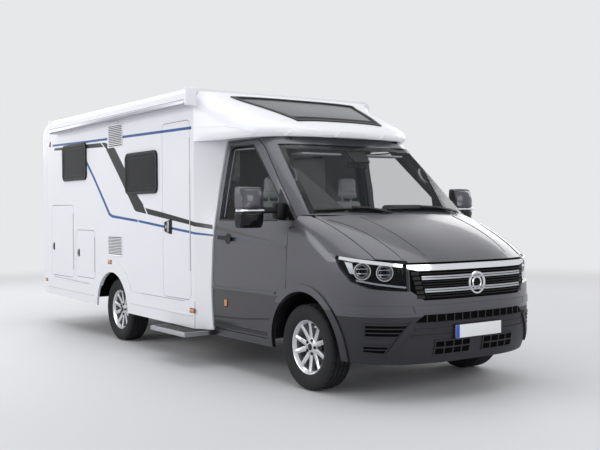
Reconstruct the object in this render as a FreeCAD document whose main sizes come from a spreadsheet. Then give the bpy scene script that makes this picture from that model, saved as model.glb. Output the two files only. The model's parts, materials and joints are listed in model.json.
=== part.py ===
import FreeCAD, Part, Sketcher
import math
import os

from types import SimpleNamespace

from FreeCAD import Placement, Rotation, Vector

# A low-profile motorhome: a white living body on the cab and running gear of a front-wheel-drive
# delivery van. Millimetres, +X forward, +Y to the vehicle's left, +Z up. The origin is on the
# ground, under the middle of the length and width. A size that ends in "aft" is measured
# backwards from the front axle, one that ends in "fore" forwards from it.

SIZES = (
    ("overall_length", 6990.0, "rear bumper to number plate bracket"),
    ("front_overhang", 990.0, "front axle to number plate bracket"),
    ("wheelbase", 3640.0, "front axle to rear axle"),
    ("mirror_span", 2728.0, "width over both outside mirrors"),
    ("tyre_radius", 355.0, "outer radius of the tyre"),
    ("tyre_width", 235.0, "section width of the tyre"),
    ("tyre_shoulder", 26.0, "rounding between tread and sidewall"),
    ("rim_radius", 232.0, "outer radius of the rim flange"),
    ("rim_well_radius", 196.0, "outer radius of the rim well"),
    ("rim_width", 190.0, "width of the rim over its flanges"),
    ("rim_wall", 9.0, "thickness of the rim barrel"),
    ("spoke_width", 17.0, "width of one spoke"),
    ("spoke_depth", 26.0, "depth of one spoke"),
    ("spoke_pairs", 5.0, "pairs of twin spokes on a wheel"),
    ("spoke_spread", 19.0, "degrees between neighbouring spoke pairs"),
    ("hub_radius", 78.0, "radius of the wheel's hub disc"),
    ("hub_face_inset", 34.0, "hub disc behind the outer rim flange"),
    ("front_track_half", 864.0, "front wheel centre to the middle"),
    ("rear_track_half", 907.0, "rear wheel centre to the middle"),
    ("kingpin_inset", 64.0, "kingpin to the wheel's centre plane"),
    ("fit_gap", 0.3, "clearance of a seated piece"),
    ("run_gap", 6.0, "clearance round a moving panel"),
    ("cab_sill_height", 300.0, "underside of the cab's sills"),
    ("cab_top_height", 2152.0, "top of the cab where the hood sits"),
    ("cab_half_width", 1010.0, "half width of the cab at its widest"),
    ("cab_rear_aft", 1472.0, "rear edge of the cab doors' opening"),
    ("cab_wall", 66.0, "thickness of cab doors and pillars"),
    ("panel_skin", 26.0, "thickness of wings, bonnet and bumpers"),
    ("waist_height", 1075.0, "front edge of the bonnet"),
    ("scuttle_height", 1440.0, "rear edge of the bonnet"),
    ("glass_base_height", 1450.0, "lower edge of the windscreen"),
    ("glass_top_height", 2080.0, "upper edge of the windscreen"),
    ("glass_base_half", 885.0, "half width of the windscreen's lower edge"),
    ("glass_top_half", 772.0, "half width of the windscreen's upper edge"),
    ("glass_thickness", 8.0, "thickness of the cab's glass"),
    ("door_front_aft", 242.0, "front edge of the cab door, its hinge line"),
    ("door_low_height", 372.0, "lower edge of the cab door"),
    ("door_top_height", 2132.0, "upper edge of the cab door"),
    ("door_nose_aft", 152.0, "front corner of the cab door at the waist"),
    ("sail_aft", 438.0, "rear edge of the solid triangle that carries the mirror"),
    ("belt_height", 1402.0, "lower edge of the cab door's window"),
    ("bonnet_pin_radius", 10.0, "radius of the bonnet's hinge pins"),
    ("bonnet_pin_aft", 14.0, "the bonnet's hinge axis behind the front axle"),
    ("bonnet_pin_height", 1430.0, "height of the bonnet's hinge axis"),
    ("bonnet_half_rear", 868.0, "half width of the bonnet at its rear"),
    ("bonnet_half_front", 806.0, "half width of the bonnet at its front"),
    ("cab_arch_radius", 462.0, "radius of the front wheel arch"),
    ("flare_width", 60.0, "width of the flare round the front arch"),
    ("flare_proud", 13.0, "flare outside the cab's side"),
    ("liner_wall", 6.0, "thickness of the front arch liner"),
    ("bumper_split_height", 660.0, "seam between painted and plain bumper"),
    ("grille_low_height", 785.0, "lower edge of the grille"),
    ("grille_half", 636.0, "half width of the grille's upper edge"),
    ("grille_low_half", 528.0, "half width of the grille's lower edge"),
    ("grille_depth", 60.0, "depth of the grille"),
    ("lamp_depth", 130.0, "depth of the headlamps"),
    ("cab_floor_height", 500.0, "underside of the cab's floor"),
    ("floor_sheet", 40.0, "thickness of the cab's floor and firewall"),
    ("toe_aft", 468.0, "front face of the toe board"),
    ("seat_shelf_height", 830.0, "underside of the shelf over the front wheels"),
    ("firewall_aft", 20.0, "front face of the firewall"),
    ("body_half_width", 1100.0, "half width of the living body"),
    ("body_front_aft", 1660.0, "front edge of the living body's walls"),
    ("body_wall", 31.0, "thickness of the living body's walls"),
    ("roof_height", 2666.0, "top of the living body's roof"),
    ("roof_wall", 34.0, "thickness of the roof"),
    ("rear_bumper_depth", 42.0, "bumper behind the rear wall"),
    ("rear_corner_radius", 115.0, "rounding of the body's upright rear corners"),
    ("roof_edge_radius", 72.0, "rounding of the roof's long edges"),
    ("roof_tail_radius", 230.0, "rounding of the roof's rear edge"),
    ("body_floor_height", 600.0, "top of the living body's floor"),
    ("body_floor_sheet", 42.0, "thickness of the living body's floor"),
    ("wall_low_height", 606.0, "lower edge of the body's walls"),
    ("skirt_low_height", 346.0, "underside of the skirts at the front"),
    ("skirt_tail_height", 402.0, "underside of the skirts at the rear"),
    ("skirt_sheet", 24.0, "thickness of the skirts"),
    ("skirt_proud", 9.0, "skirt outside the wall above it"),
    ("rear_arch_radius", 434.0, "radius of the rear wheel arch"),
    ("rear_flange_width", 148.0, "width of the raised flange round the rear arch"),
    ("wheelhouse_half", 446.0, "half length of the rear wheel housing"),
    ("wheelhouse_top", 822.0, "top of the rear wheel housing"),
    ("wheelhouse_inner", 740.0, "inner side of the rear wheel housing"),
    ("wheelhouse_sheet", 12.0, "thickness of the rear wheel housing"),
    ("corner_radius", 62.0, "rounding of hatches and doors in the body"),
    ("entry_front_aft", 1740.0, "front edge of the entry door, its hinge line"),
    ("entry_width", 590.0, "width of the entry door"),
    ("entry_low_height", 618.0, "lower edge of the entry door"),
    ("entry_tall", 1750.0, "height of the entry door"),
    ("tall_front_aft", 4826.0, "front edge of the tall rear hatch"),
    ("tall_width", 780.0, "width of the tall rear hatch"),
    ("tall_low_height", 662.0, "lower edge of the tall rear hatch"),
    ("tall_tall", 905.0, "height of the tall rear hatch"),
    ("gas_front_aft", 4138.0, "front edge of the gas locker hatch"),
    ("gas_width", 594.0, "width of the gas locker hatch"),
    ("gas_low_height", 685.0, "lower edge of the gas locker hatch"),
    ("gas_tall", 572.0, "height of the gas locker hatch"),
    ("rear_window_front_aft", 4361.0, "front edge of the rear side windows"),
    ("rear_window_width", 789.0, "width of the rear side windows"),
    ("rear_window_low", 1873.0, "lower edge of the rear side windows"),
    ("rear_window_tall", 456.0, "height of the rear side windows"),
    ("front_window_front_aft", 2436.0, "front edge of the front side windows"),
    ("front_window_width", 783.0, "width of the front side windows"),
    ("front_window_low", 1669.0, "lower edge of the front side windows"),
    ("front_window_tall", 452.0, "height of the front side windows"),
    ("jamb_sheet", 18.0, "depth of the jambs behind doors and hatches"),
    ("jamb_inset", 20.0, "how far a jamb reaches in behind its lid"),
    ("jamb_cover", 14.0, "how far a jamb reaches out over the wall"),
    ("window_sheet", 24.0, "depth of a side window"),
    ("window_proud", 16.0, "side window outside the wall"),
    ("window_corner", 70.0, "rounding of the side windows"),
    ("cassette_front_aft", 2740.0, "front edge of the service hatch on the left"),
    ("cassette_width", 400.0, "width of the service hatch"),
    ("cassette_low_height", 694.0, "lower edge of the service hatch"),
    ("cassette_tall", 380.0, "height of the service hatch"),
    ("hood_low_height", 2152.0, "lower edge of the hood over the cab"),
    ("hood_wall", 36.0, "thickness of the hood over the cab"),
    ("hood_sole", 20.0, "thickness of the hood's underside"),
    ("skylight_front_aft", 760.0, "front edge of the skylight"),
    ("skylight_rear_aft", 1526.0, "rear edge of the skylight"),
    ("skylight_front_half", 502.0, "half width of the skylight at its front"),
    ("skylight_rear_half", 754.0, "half width of the skylight at its rear"),
    ("shoulder_sheet", 38.0, "thickness of the shoulder panels"),
    ("awning_front_aft", 1601.0, "front end of the awning case"),
    ("awning_length", 3740.0, "length of the awning case"),
    ("awning_low_height", 2492.0, "underside of the awning case"),
    ("awning_tall", 170.0, "height of the awning case"),
    ("awning_depth", 118.0, "awning case outside the wall"),
    ("hatch_proud", 78.0, "roof hatch lid above the roof"),
    ("hatch_frame_tall", 28.0, "height of the frame under a roof hatch lid"),
    ("big_hatch_aft", 3050.0, "middle of the large roof hatch"),
    ("big_hatch_side", 700.0, "side of the large roof hatch"),
    ("small_hatch_aft", 4950.0, "middle of the small roof hatch"),
    ("small_hatch_side", 440.0, "side of the small roof hatch"),
    ("step_rear_aft", 2230.0, "rear end of the entrance step"),
    ("step_length", 730.0, "length of the entrance step"),
    ("step_low_height", 296.0, "underside of the entrance step"),
    ("step_sheet", 40.0, "thickness of the entrance step"),
    ("step_depth", 300.0, "depth of the entrance step"),
    ("step_reach", 1300.0, "step's edge from the middle when it is out"),
    ("step_travel", 250.0, "how far the entrance step slides"),
    ("step_headroom", 14.0, "clearance over the step where it slides in under the cab"),
    ("step_side", 27.0, "thickness of the step's front runner"),
    ("step_cover", 40.0, "thickness of the step's housing over it"),
    ("rail_half_gap", 430.0, "chassis rail's middle from the vehicle's middle"),
    ("rail_width", 70.0, "width of a chassis rail"),
    ("rail_low_height", 430.0, "underside of the chassis rails"),
    ("rail_tail_aft", 5500.0, "rear end of the chassis rails"),
    ("rail_nose_fore", 780.0, "front end of the chassis rails"),
    ("engine_length", 560.0, "engine and gearbox along the vehicle"),
    ("engine_low_height", 300.0, "underside of the engine and gearbox"),
    ("engine_tall", 620.0, "height of the engine and gearbox"),
    ("engine_rear_fore", 60.0, "rear face of the engine from the front axle"),
    ("axle_beam_radius", 48.0, "radius of the rear axle's beam"),
    ("stub_radius", 30.0, "radius of the stub axles"),
)

document = FreeCAD.newDocument("camper_van")
sheet = document.addObject("Spreadsheet::Sheet", "Sizes")
for row, (alias, number, meaning) in enumerate(SIZES, start=1):
    sheet.set(f"A{row}", meaning)
    sheet.set(f"B{row}", str(number))
    sheet.setAlias(f"B{row}", alias)
document.recompute()


class Measure:
    """A length worked out from the sheet: its number, and the formula that ties it to its cells."""

    def __init__(self, number, formula):
        self.number = number
        self.formula = formula

    def __float__(self):
        return self.number

    def __add__(self, other):
        return Measure(self.number + float(other), f"({self.formula} + {formula_of(other)})")

    def __radd__(self, other):
        return Measure(float(other) + self.number, f"({formula_of(other)} + {self.formula})")

    def __sub__(self, other):
        return Measure(self.number - float(other), f"({self.formula} - {formula_of(other)})")

    def __rsub__(self, other):
        return Measure(float(other) - self.number, f"({formula_of(other)} - {self.formula})")

    def __mul__(self, other):
        return Measure(self.number * float(other), f"({self.formula} * {formula_of(other)})")

    def __rmul__(self, other):
        return Measure(float(other) * self.number, f"({formula_of(other)} * {self.formula})")

    def __truediv__(self, other):
        return Measure(self.number / float(other), f"({self.formula} / {formula_of(other)})")

    def __neg__(self):
        return Measure(-self.number, f"(-({self.formula}))")


def formula_of(term):
    return term.formula if isinstance(term, Measure) else repr(float(term))


size = SimpleNamespace(**{
    alias: Measure(float(sheet.get(alias)), f"Sizes.{alias}") for alias, _, _ in SIZES
})
front_axle = size.overall_length / 2 - size.front_overhang
rear_axle = front_axle - size.wheelbase
tail = -(size.overall_length / 2)
wall_tail = tail + size.rear_bumper_depth
body_front = front_axle - size.body_front_aft
cab_rear = front_axle - size.cab_rear_aft

step_x = (front_axle - size.step_rear_aft, front_axle - size.step_rear_aft + size.step_length)
step_y = (-size.step_reach, -(size.step_reach - size.step_depth))
step_top = size.step_low_height + size.step_sheet

nodes = []


def node(feature, label):
    """Register a finished piece under the name its file gets."""
    feature.Label = label
    nodes.append(feature)
    return feature


def bind(feature, path, term):
    feature.setExpression(path, formula_of(term))


def place(feature, x, y, z):
    bind(feature, "Placement.Base.x", x)
    bind(feature, "Placement.Base.y", y)
    bind(feature, "Placement.Base.z", z)


def block(name, x, y, z):
    """A box between three pairs of limits."""
    box = document.addObject("Part::Box", name)
    bind(box, "Length", x[1] - x[0])
    bind(box, "Width", y[1] - y[0])
    bind(box, "Height", z[1] - z[0])
    place(box, x[0], y[0], z[0])
    return box


def rod(name, radius, y, x, z):
    """A round bar along Y between two limits, its axis at x and z."""
    bar = document.addObject("Part::Cylinder", name)
    bar.Placement = Placement(Vector(), Rotation(Vector(1, 0, 0), -90))
    bind(bar, "Radius", radius)
    bind(bar, "Height", y[1] - y[0])
    place(bar, x, y[0], z)
    return bar


def fuse(name, pieces):
    whole = document.addObject("Part::MultiFuse", name)
    whole.Shapes = pieces
    return whole


def cut(name, base, tool):
    rest = document.addObject("Part::Cut", name)
    rest.Base = base
    rest.Tool = tool
    return rest


def formed(name, shape):
    """A piece whose curved shape is worked out here from the sheet's sizes."""
    feature = document.addObject("Part::Feature", name)
    feature.Shape = shape
    return feature


PLANES = {"top": "XY_Plane", "side": "XZ_Plane", "end": "YZ_Plane"}


def new_sketch(body, name, view, level):
    """A sketch on one of the body's own planes, moved to a level along that plane's axis."""
    sketch = body.newObject("Sketcher::SketchObject", name)
    plane = [item for item in body.Origin.OriginFeatures if item.Role == PLANES[view]][0]
    sketch.AttachmentSupport = [(plane, "")]
    sketch.MapMode = "FlatFace"
    bind(sketch, "AttachmentOffset.Base.z", -level if view == "side" else level)
    return sketch


def hold(sketch, kind, *reference):
    """Add a dimension to a sketch and tie it to its formula."""
    *where, term = reference
    index = sketch.addConstraint(Sketcher.Constraint(kind, *where, float(term)))
    sketch.setExpression(f"Constraints[{index}]", formula_of(term))


def draw_outline(sketch, corners):
    """A closed outline of straight edges through the corners."""
    first = sketch.GeometryCount
    count = len(corners)
    for step in range(count):
        start = corners[step]
        end = corners[(step + 1) % count]
        line = Part.LineSegment(Vector(float(start[0]), float(start[1]), 0),
                                Vector(float(end[0]), float(end[1]), 0))
        sketch.addGeometry(line, False)
    for step in range(count):
        following = first + (step + 1) % count
        sketch.addConstraint(Sketcher.Constraint("Coincident", first + step, 2, following, 1))
        hold(sketch, "DistanceX", -1, 1, first + step, 1, corners[step][0])
        hold(sketch, "DistanceY", -1, 1, first + step, 1, corners[step][1])


def draw_rounded(sketch, left, low, width, tall, radius):
    """A rectangle with round corners."""
    right = left + width
    top = low + tall
    centres = ((right - radius, low + radius, -90), (right - radius, top - radius, 0),
               (left + radius, top - radius, 90), (left + radius, low + radius, 180))
    first = sketch.GeometryCount
    for across, up, angle in centres:
        circle = Part.Circle(Vector(float(across), float(up), 0), Vector(0, 0, 1), float(radius))
        arc = Part.ArcOfCircle(circle, math.radians(angle), math.radians(angle + 90))
        sketch.addGeometry(arc, False)
    for step in range(4):
        start = sketch.Geometry[first + step].EndPoint
        end = sketch.Geometry[first + (step + 1) % 4].StartPoint
        sketch.addGeometry(Part.LineSegment(start, end), False)
    for step, (across, up, _) in enumerate(centres):
        arc = first + step
        line = first + 4 + step
        following = first + (step + 1) % 4
        sketch.addConstraint(Sketcher.Constraint("Tangent", arc, 2, line, 1))
        sketch.addConstraint(Sketcher.Constraint("Tangent", line, 2, following, 1))
        hold(sketch, "DistanceX", -1, 1, arc, 3, across)
        hold(sketch, "DistanceY", -1, 1, arc, 3, up)
        hold(sketch, "Radius", arc, radius)


def draw_circle(sketch, across, up, radius):
    circle = Part.Circle(Vector(float(across), float(up), 0), Vector(0, 0, 1), float(radius))
    index = sketch.addGeometry(circle, False)
    hold(sketch, "DistanceX", -1, 1, index, 3, across)
    hold(sketch, "DistanceY", -1, 1, index, 3, up)
    hold(sketch, "Radius", index, radius)


def plate(name, view, level, thickness, outline, holes=(), circles=()):
    """A flat piece: its outline is padded from a level towards higher X, Y or Z, then the holes
    are cut through it. An outline is a list of corners or a rounded rectangle's five sizes."""
    body = document.addObject("PartDesign::Body", name)
    sketch = new_sketch(body, name + "_outline", view, level)
    if isinstance(outline[0], tuple):
        draw_outline(sketch, outline)
    else:
        draw_rounded(sketch, *outline)
    pad = body.newObject("PartDesign::Pad", name + "_pad")
    pad.Profile = sketch
    bind(pad, "Length", thickness)
    pad.Reversed = view == "side"
    if holes or circles:
        holes_sketch = new_sketch(body, name + "_holes", view, level)
        for hole in holes:
            draw_rounded(holes_sketch, *hole)
        for circle in circles:
            draw_circle(holes_sketch, *circle)
        pocket = body.newObject("PartDesign::Pocket", name + "_pocket")
        pocket.Profile = holes_sketch
        pocket.Type = "ThroughAll"
        pocket.Midplane = True
    return body


def at(x, y, z):
    return Vector(float(x), float(y), float(z))


def prism(corners, direction):
    """A straight-sided solid over a flat outline."""
    wire = Part.makePolygon(corners + [corners[0]])
    return Part.Face(wire).extrude(direction)


def side_prism(corners, y_low, y_high):
    points = [at(x, y_low, z) for x, z in corners]
    return prism(points, at(0, y_high - y_low, 0))


def plan_prism(corners, z_low, z_high):
    points = [at(x, y, z_low) for x, y in corners]
    return prism(points, at(0, 0, z_high - z_low))


def end_prism(corners, x_low, x_high):
    points = [at(x_low, y, z) for y, z in corners]
    return prism(points, at(x_high - x_low, 0, 0))


def drum(radius, y_low, y_high, x, z):
    return Part.makeCylinder(float(radius), float(y_high - y_low), at(x, y_low, z), Vector(0, 1, 0))


def mirrored(shape):
    """The same shape on the other side of the vehicle."""
    return shape.mirror(Vector(0, 0, 0), Vector(0, 1, 0))


def both(shape):
    return Part.makeCompound([shape, mirrored(shape)])


# The cab's outer form is a stack of level contours. A contour has straight sides and a bowed
# nose: its columns are the height, the middle of the nose and the nose's start on the side,
# both forward of the front axle, and the half width. A form's squareness says how boxy the
# nose is. The engine bay has two forms, below and above the bonnet's front edge, and the
# cell with the doors and the windscreen has one.
WIDEST = size.cab_half_width
LOWER_FORM = (
    (size.cab_sill_height - 10, 925, 250, WIDEST - 26),
    (420, 962, 290, WIDEST - 10),
    (560, 977, 300, WIDEST - 2),
    (850, 975, 300, WIDEST),
    (size.waist_height, 955, 290, WIDEST - 11),
)
BONNET_FORM = (
    (size.waist_height, 955, 290, WIDEST - 11),
    (1140, 872, 200, WIDEST - 15),
    (1210, 758, 80, WIDEST - 20),
    (1290, 593, -40, WIDEST - 27),
    (1370, 383, -160, WIDEST - 39),
    (size.scuttle_height, 165, -270, WIDEST - 52),
)
NOSE_LEAN = 1.1
SIDE_LEAN = 0.92
CELL_NARROWING = (
    (size.cab_sill_height - 10, 26), (420, 10), (560, 2), (850, 0), (size.waist_height, 11),
    (1250, 24), (1370, 41), (size.glass_base_height, 55), (1650, 88), (1850, 125),
    (size.glass_top_height, 171), (size.cab_top_height, 189),
)


def cell_level(height, narrowing):
    """A level of the cell: its nose leans back like the windscreen, its sides lean in."""
    rise = float(height) - float(size.glass_base_height)
    return height, 105 - NOSE_LEAN * rise, -275 - SIDE_LEAN * rise, WIDEST - narrowing


CELL_FORM = tuple(cell_level(height, narrowing) for height, narrowing in CELL_NARROWING)
NOSE_SQUARE = 3.2
CELL_SQUARE = 5.0
NOSE_POINTS = 5
FORM_REAR_AFT = size.cab_rear_aft + 70


def cab_contour(height, nose, start, half, square, inset):
    """One level outline of the cab, moved inwards by the inset."""
    side_start = float(front_axle + start)
    reach = float(front_axle + nose - inset) - side_start
    width = float(half) - float(inset)
    points = []
    for step in range(-NOSE_POINTS, NOSE_POINTS + 1):
        turn = math.radians(90.0 * step / NOSE_POINTS)
        across = math.copysign(abs(math.sin(turn)) ** (2.0 / square), step)
        points.append(Vector(side_start + reach * math.cos(turn), width * across, float(height)))
    nose_curve = Part.BSplineCurve()
    nose_curve.interpolate(Points=points, InitialTangent=Vector(1, 0, 0),
                           FinalTangent=Vector(-1, 0, 0))
    rear = front_axle - FORM_REAR_AFT
    corners = [points[-1], at(rear, width, height), at(rear, -width, height), points[0]]
    edges = [nose_curve.toShape()]
    for start_point, end_point in zip(corners, corners[1:]):
        edges.append(Part.LineSegment(start_point, end_point).toShape())
    return Part.Wire(edges)


def cab_form(form, square, inset, sink=0.0, reach_up=0.0, reach_down=0.0):
    """A solid through the contours; the ends can be lengthened and the whole can be sunk."""
    wires = []
    last = len(form) - 1
    for index, (height, nose, start, half) in enumerate(form):
        level = height - sink
        if index == 0:
            level = level - reach_down
        if index == last:
            level = level + reach_up
        wires.append(cab_contour(level, nose, start, half, square, inset))
    return Part.makeLoft(wires, True, False)


BEYOND = 1500.0
gap = size.run_gap
seat = size.fit_gap
wheel_height = size.tyre_radius
flare_radius = size.cab_arch_radius + size.flare_width
lower_outer = cab_form(LOWER_FORM, NOSE_SQUARE, 0.0)
lower_inner = cab_form(LOWER_FORM, NOSE_SQUARE, size.panel_skin, reach_down=60.0, reach_up=60.0)
lower_shell = lower_outer.cut(lower_inner)
bonnet_outer = cab_form(BONNET_FORM, NOSE_SQUARE, 0.0)
bonnet_inner = cab_form(BONNET_FORM, NOSE_SQUARE, size.panel_skin, sink=size.panel_skin)
bonnet_shell = bonnet_outer.cut(bonnet_inner)
cell_outer = cab_form(CELL_FORM, CELL_SQUARE, 0.0, reach_down=40.0)
cell_inner = cab_form(CELL_FORM, CELL_SQUARE, size.cab_wall, reach_down=60.0,
                      reach_up=-size.cab_wall * 0.6)


def cab_side_region(grow):
    """The cab door's outline, seen from the side, grown outwards."""
    hinge = front_axle - size.door_front_aft + grow
    nose = front_axle - size.door_nose_aft + grow
    rear = cab_rear - grow + gap
    top = size.door_top_height + grow
    return [
        (rear, size.door_low_height - grow), (rear, top),
        (front_axle - 922 + grow * 0.6, top), (front_axle - 800 + grow, 2054 + grow * 0.6),
        (nose, 1412 + grow * 0.4), (nose, 1348 - grow),
        (hinge, 1338 - grow), (hinge, size.door_low_height - grow),
    ]


def window_region(grow):
    """The cab door's window, seen from the side."""
    low = size.belt_height - grow
    return [
        (front_axle - 1400 - grow, low), (front_axle - 1388 - grow, 2090 + grow),
        (front_axle - 992 + grow * 0.5, 2082 + grow), (front_axle - 886 + grow, 1997 + grow * 0.7),
        (front_axle - size.sail_aft + grow, 1594 + grow * 1.6),
        (front_axle - size.sail_aft + grow, low),
    ]


def windscreen_outline(grow):
    """The windscreen seen from the front."""
    low = size.glass_base_height - grow
    top = size.glass_top_height + grow
    low_half = size.glass_base_half + grow
    top_half = size.glass_top_half + grow
    return [(-low_half, low), (low_half, low), (top_half, top), (-top_half, top)]


flare_drum = drum(flare_radius + gap, -BEYOND, -300, front_axle, wheel_height)
arch_drum = drum(size.cab_arch_radius, -BEYOND, -300, front_axle, wheel_height)
cell_zone = [
    (cab_rear, size.cab_sill_height), (front_axle - size.door_front_aft, size.cab_sill_height),
    (front_axle - size.door_front_aft, 1342),
    (front_axle - size.door_nose_aft, 1348),
    (front_axle - size.door_nose_aft, size.scuttle_height + 3),
    (front_axle + 300, size.scuttle_height + 3), (front_axle + 300, size.cab_top_height + 50),
    (cab_rear, size.cab_top_height + 50),
]


COWL_HALF = 880.0


def bonnet_pin(grow):
    """The right hinge pin of the bonnet, at its rear corner."""
    return drum(size.bonnet_pin_radius + grow, -(866.0 + grow), -(760.0 - grow),
                front_axle - size.bonnet_pin_aft, size.bonnet_pin_height)


def make_cab_frame():
    """Pillars, header, roof rails, sills and the ring behind the doors, in one pressing."""
    windscreen_hole = end_prism(windscreen_outline(size.fit_gap), front_axle - 760, front_axle + 300)
    roof_cut = Part.makeBox(900, 1300, 200, at(cab_rear - 100, -650, size.cab_top_height - 120))
    zone = side_prism(cell_zone, -BEYOND, BEYOND)
    shell = cell_outer.common(zone).cut(cell_inner.common(zone))
    for tool in (both(side_prism(cab_side_region(gap), -BEYOND, -300)), roof_cut,
                 both(flare_drum)):
        shell = shell.cut(tool)
    ring_low = float(step_top + size.step_headroom)
    ring_tall = float(size.cab_top_height) - ring_low
    ring_zone = Part.makeBox(60, 3000, ring_tall, at(cab_rear - 55, -1500, ring_low))
    ring = cab_form(CELL_FORM, CELL_SQUARE, size.cab_wall - 20.0).common(ring_zone)
    ring = ring.cut(cab_form(CELL_FORM, CELL_SQUARE, size.cab_wall + 20.0).common(ring_zone))
    jamb_tall = float(size.glass_top_height) - 20 - ring_low
    jamb_zone = Part.makeBox(90, 3000, jamb_tall, at(cab_rear - 50, -1500, ring_low))
    jamb = cab_form(CELL_FORM, CELL_SQUARE, size.cab_wall + 1.2).common(jamb_zone)
    jamb = jamb.cut(cab_form(CELL_FORM, CELL_SQUARE, size.cab_wall + 18.0).common(jamb_zone))
    cowl_zone = Part.makeBox(260, 2 * COWL_HALF, float(size.glass_base_height) + 5 - 1375,
                             at(front_axle - size.door_nose_aft + 3, -COWL_HALF, 1375))
    cowl = cab_form(CELL_FORM[5:], CELL_SQUARE, 40.0).common(cowl_zone)
    right_half = Part.makeBox(3000, BEYOND, 3000, at(front_axle - 2000, -BEYOND, 0))
    past_middle = Part.makeBox(3000, BEYOND + 50, 3000, at(front_axle - 2000, -BEYOND, 0))
    frame = shell.fuse([ring, jamb, cowl, both(bonnet_pin(0.0))]).common(right_half)
    frame = frame.cut(windscreen_hole.common(past_middle))
    return frame.fuse(mirrored(frame))


def make_windscreen():
    glass = cab_form(CELL_FORM, CELL_SQUARE, 1.0)
    glass = glass.cut(cab_form(CELL_FORM, CELL_SQUARE, size.glass_thickness + 1.0,
                               reach_up=1.0, reach_down=1.0))
    glass = glass.common(end_prism(windscreen_outline(0.0), front_axle - 745, front_axle + 300))
    return biggest(glass)


def biggest(shape):
    """The largest of a shape's solids: what is left of it are shavings."""
    return sorted(shape.Solids, key=lambda solid: solid.Volume)[-1]


def make_cab_door():
    """The right cab door, as thick as the whole door, with its window cut out.
    Its rear edge follows the arc of its own swing, so it clears the ring behind it."""
    zone = side_prism(cab_side_region(0.0), -BEYOND, -300)
    door = cell_outer.common(zone).cut(cell_inner.common(zone))
    door = biggest(door.cut([side_prism(window_region(0.0), -BEYOND, -300), flare_drum]))
    swing_radius = size.cab_rear_aft - size.door_front_aft - gap
    hinge = at(front_axle - size.door_front_aft, -size.cab_half_width, 0)
    return biggest(door.common(Part.makeCylinder(float(swing_radius), 3000, hinge)))


def make_door_glass():
    """The right door's pane, in the middle of the door's thickness."""
    window = side_prism(window_region(-size.fit_gap), -BEYOND, -300)
    outer = cab_form(CELL_FORM, CELL_SQUARE, size.cab_wall * 0.5).common(window)
    inner = cab_form(CELL_FORM, CELL_SQUARE, size.cab_wall * 0.5 + size.glass_thickness * 0.7)
    return biggest(outer.cut(inner.common(window)))


cab_frame = node(formed("cab_frame", make_cab_frame()), "cab_frame")
windscreen = node(formed("windscreen", make_windscreen()), "windscreen")


def bonnet_plan(grow):
    """The bonnet seen from above."""
    rear_half = size.bonnet_half_rear + grow
    front_half = size.bonnet_half_front + grow
    return [
        (front_axle - 60 - grow, -rear_half), (front_axle + 1000, -front_half),
        (front_axle + 1000, front_half), (front_axle - 60 - grow, rear_half),
    ]


def lamp_region(grow):
    """The headlamp seen from the side."""
    return [
        (front_axle + 392 - grow, 1126 + grow), (front_axle + 1000, 1070 + grow),
        (front_axle + 1000, 842 - grow), (front_axle + 700, 876 - grow),
        (front_axle + 560 - grow, 930 - grow), (front_axle + 470 - grow, 1020 - grow),
    ]


def grille_outline(grow):
    """The grille seen from the front."""
    top = size.waist_height - gap
    high_half = size.grille_half + grow
    low_half = size.grille_low_half + grow
    low = size.grille_low_height - grow
    return [
        (-high_half, top), (-high_half, 862 - grow), (-low_half, low),
        (low_half, low), (high_half, 862 - grow), (high_half, top),
    ]


def bumper_region(grow):
    """The painted bumper seen from the side: it meets the wing along a slanted seam."""
    split = size.bumper_split_height - grow
    return [
        (front_axle + 345 - grow, split), (front_axle + 1100, split),
        (front_axle + 1100, 1040 + grow), (front_axle + 540 - grow, 1040 + grow),
    ]


def lower_bumper_region(grow):
    """The plain lower bumper seen from the side."""
    split = size.bumper_split_height - size.fit_gap + grow
    return [
        (front_axle + 345 - grow, 0), (front_axle + 1100, 0),
        (front_axle + 1100, split), (front_axle + 345 - grow, split),
    ]


lamp_space = side_prism(lamp_region(seat), -BEYOND, -(size.grille_half + 4))
grille_space = end_prism(grille_outline(seat), front_axle + 600, front_axle + BEYOND)


def make_bonnet():
    """The bonnet's skin, ahead of the scuttle and between the wings and lamps."""
    rear_limit = cab_contour(1000, 131, -270, WIDEST - 52, CELL_SQUARE, 0.0)
    behind = Part.Face(rear_limit).extrude(at(0, 0, 700))
    lid = bonnet_shell.common(plan_prism(bonnet_plan(0.0), size.waist_height, size.scuttle_height))
    lamp_clear = both(side_prism(lamp_region(gap), -BEYOND, -size.grille_half))
    return biggest(lid.cut([behind, lamp_clear, both(bonnet_pin(seat))]))


def make_wings():
    """Both front wings with the flares round their wheel arches."""
    outline = [
        (front_axle - size.door_front_aft + gap, size.cab_sill_height),
        (front_axle - size.door_front_aft + gap, 1331),
        (front_axle - size.door_nose_aft + gap, 1341),
        (front_axle - size.door_nose_aft + gap, size.scuttle_height),
        (front_axle + 960, size.scuttle_height), (front_axle + 960, size.cab_sill_height),
    ]
    region = side_prism(outline, -BEYOND, -300)
    high = bonnet_shell.common(region).cut(plan_prism(bonnet_plan(gap), 1000, 2000))
    scuttle_half = COWL_HALF + float(seat)
    high = high.cut(Part.makeBox(300, 2 * scuttle_half, 500,
                                 at(front_axle - 300, -scuttle_half, 1200)))
    low = lower_shell.common(region)
    low = low.cut([side_prism(bumper_region(seat), -BEYOND, -200),
                   side_prism(lower_bumper_region(seat), -BEYOND, -200)])
    flare = cab_form(LOWER_FORM, NOSE_SQUARE, -size.flare_proud)
    flare = flare.cut(lower_inner)
    flare = flare.common(drum(flare_radius, -BEYOND, -300, front_axle, wheel_height))
    flare = flare.common(Part.makeBox(3000, BEYOND, 900,
                                      at(front_axle - 1500, -BEYOND, size.cab_sill_height + 5)))
    wing = high.fuse([low, flare]).cut([lamp_space, grille_space, arch_drum])
    return both(biggest(wing))


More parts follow.
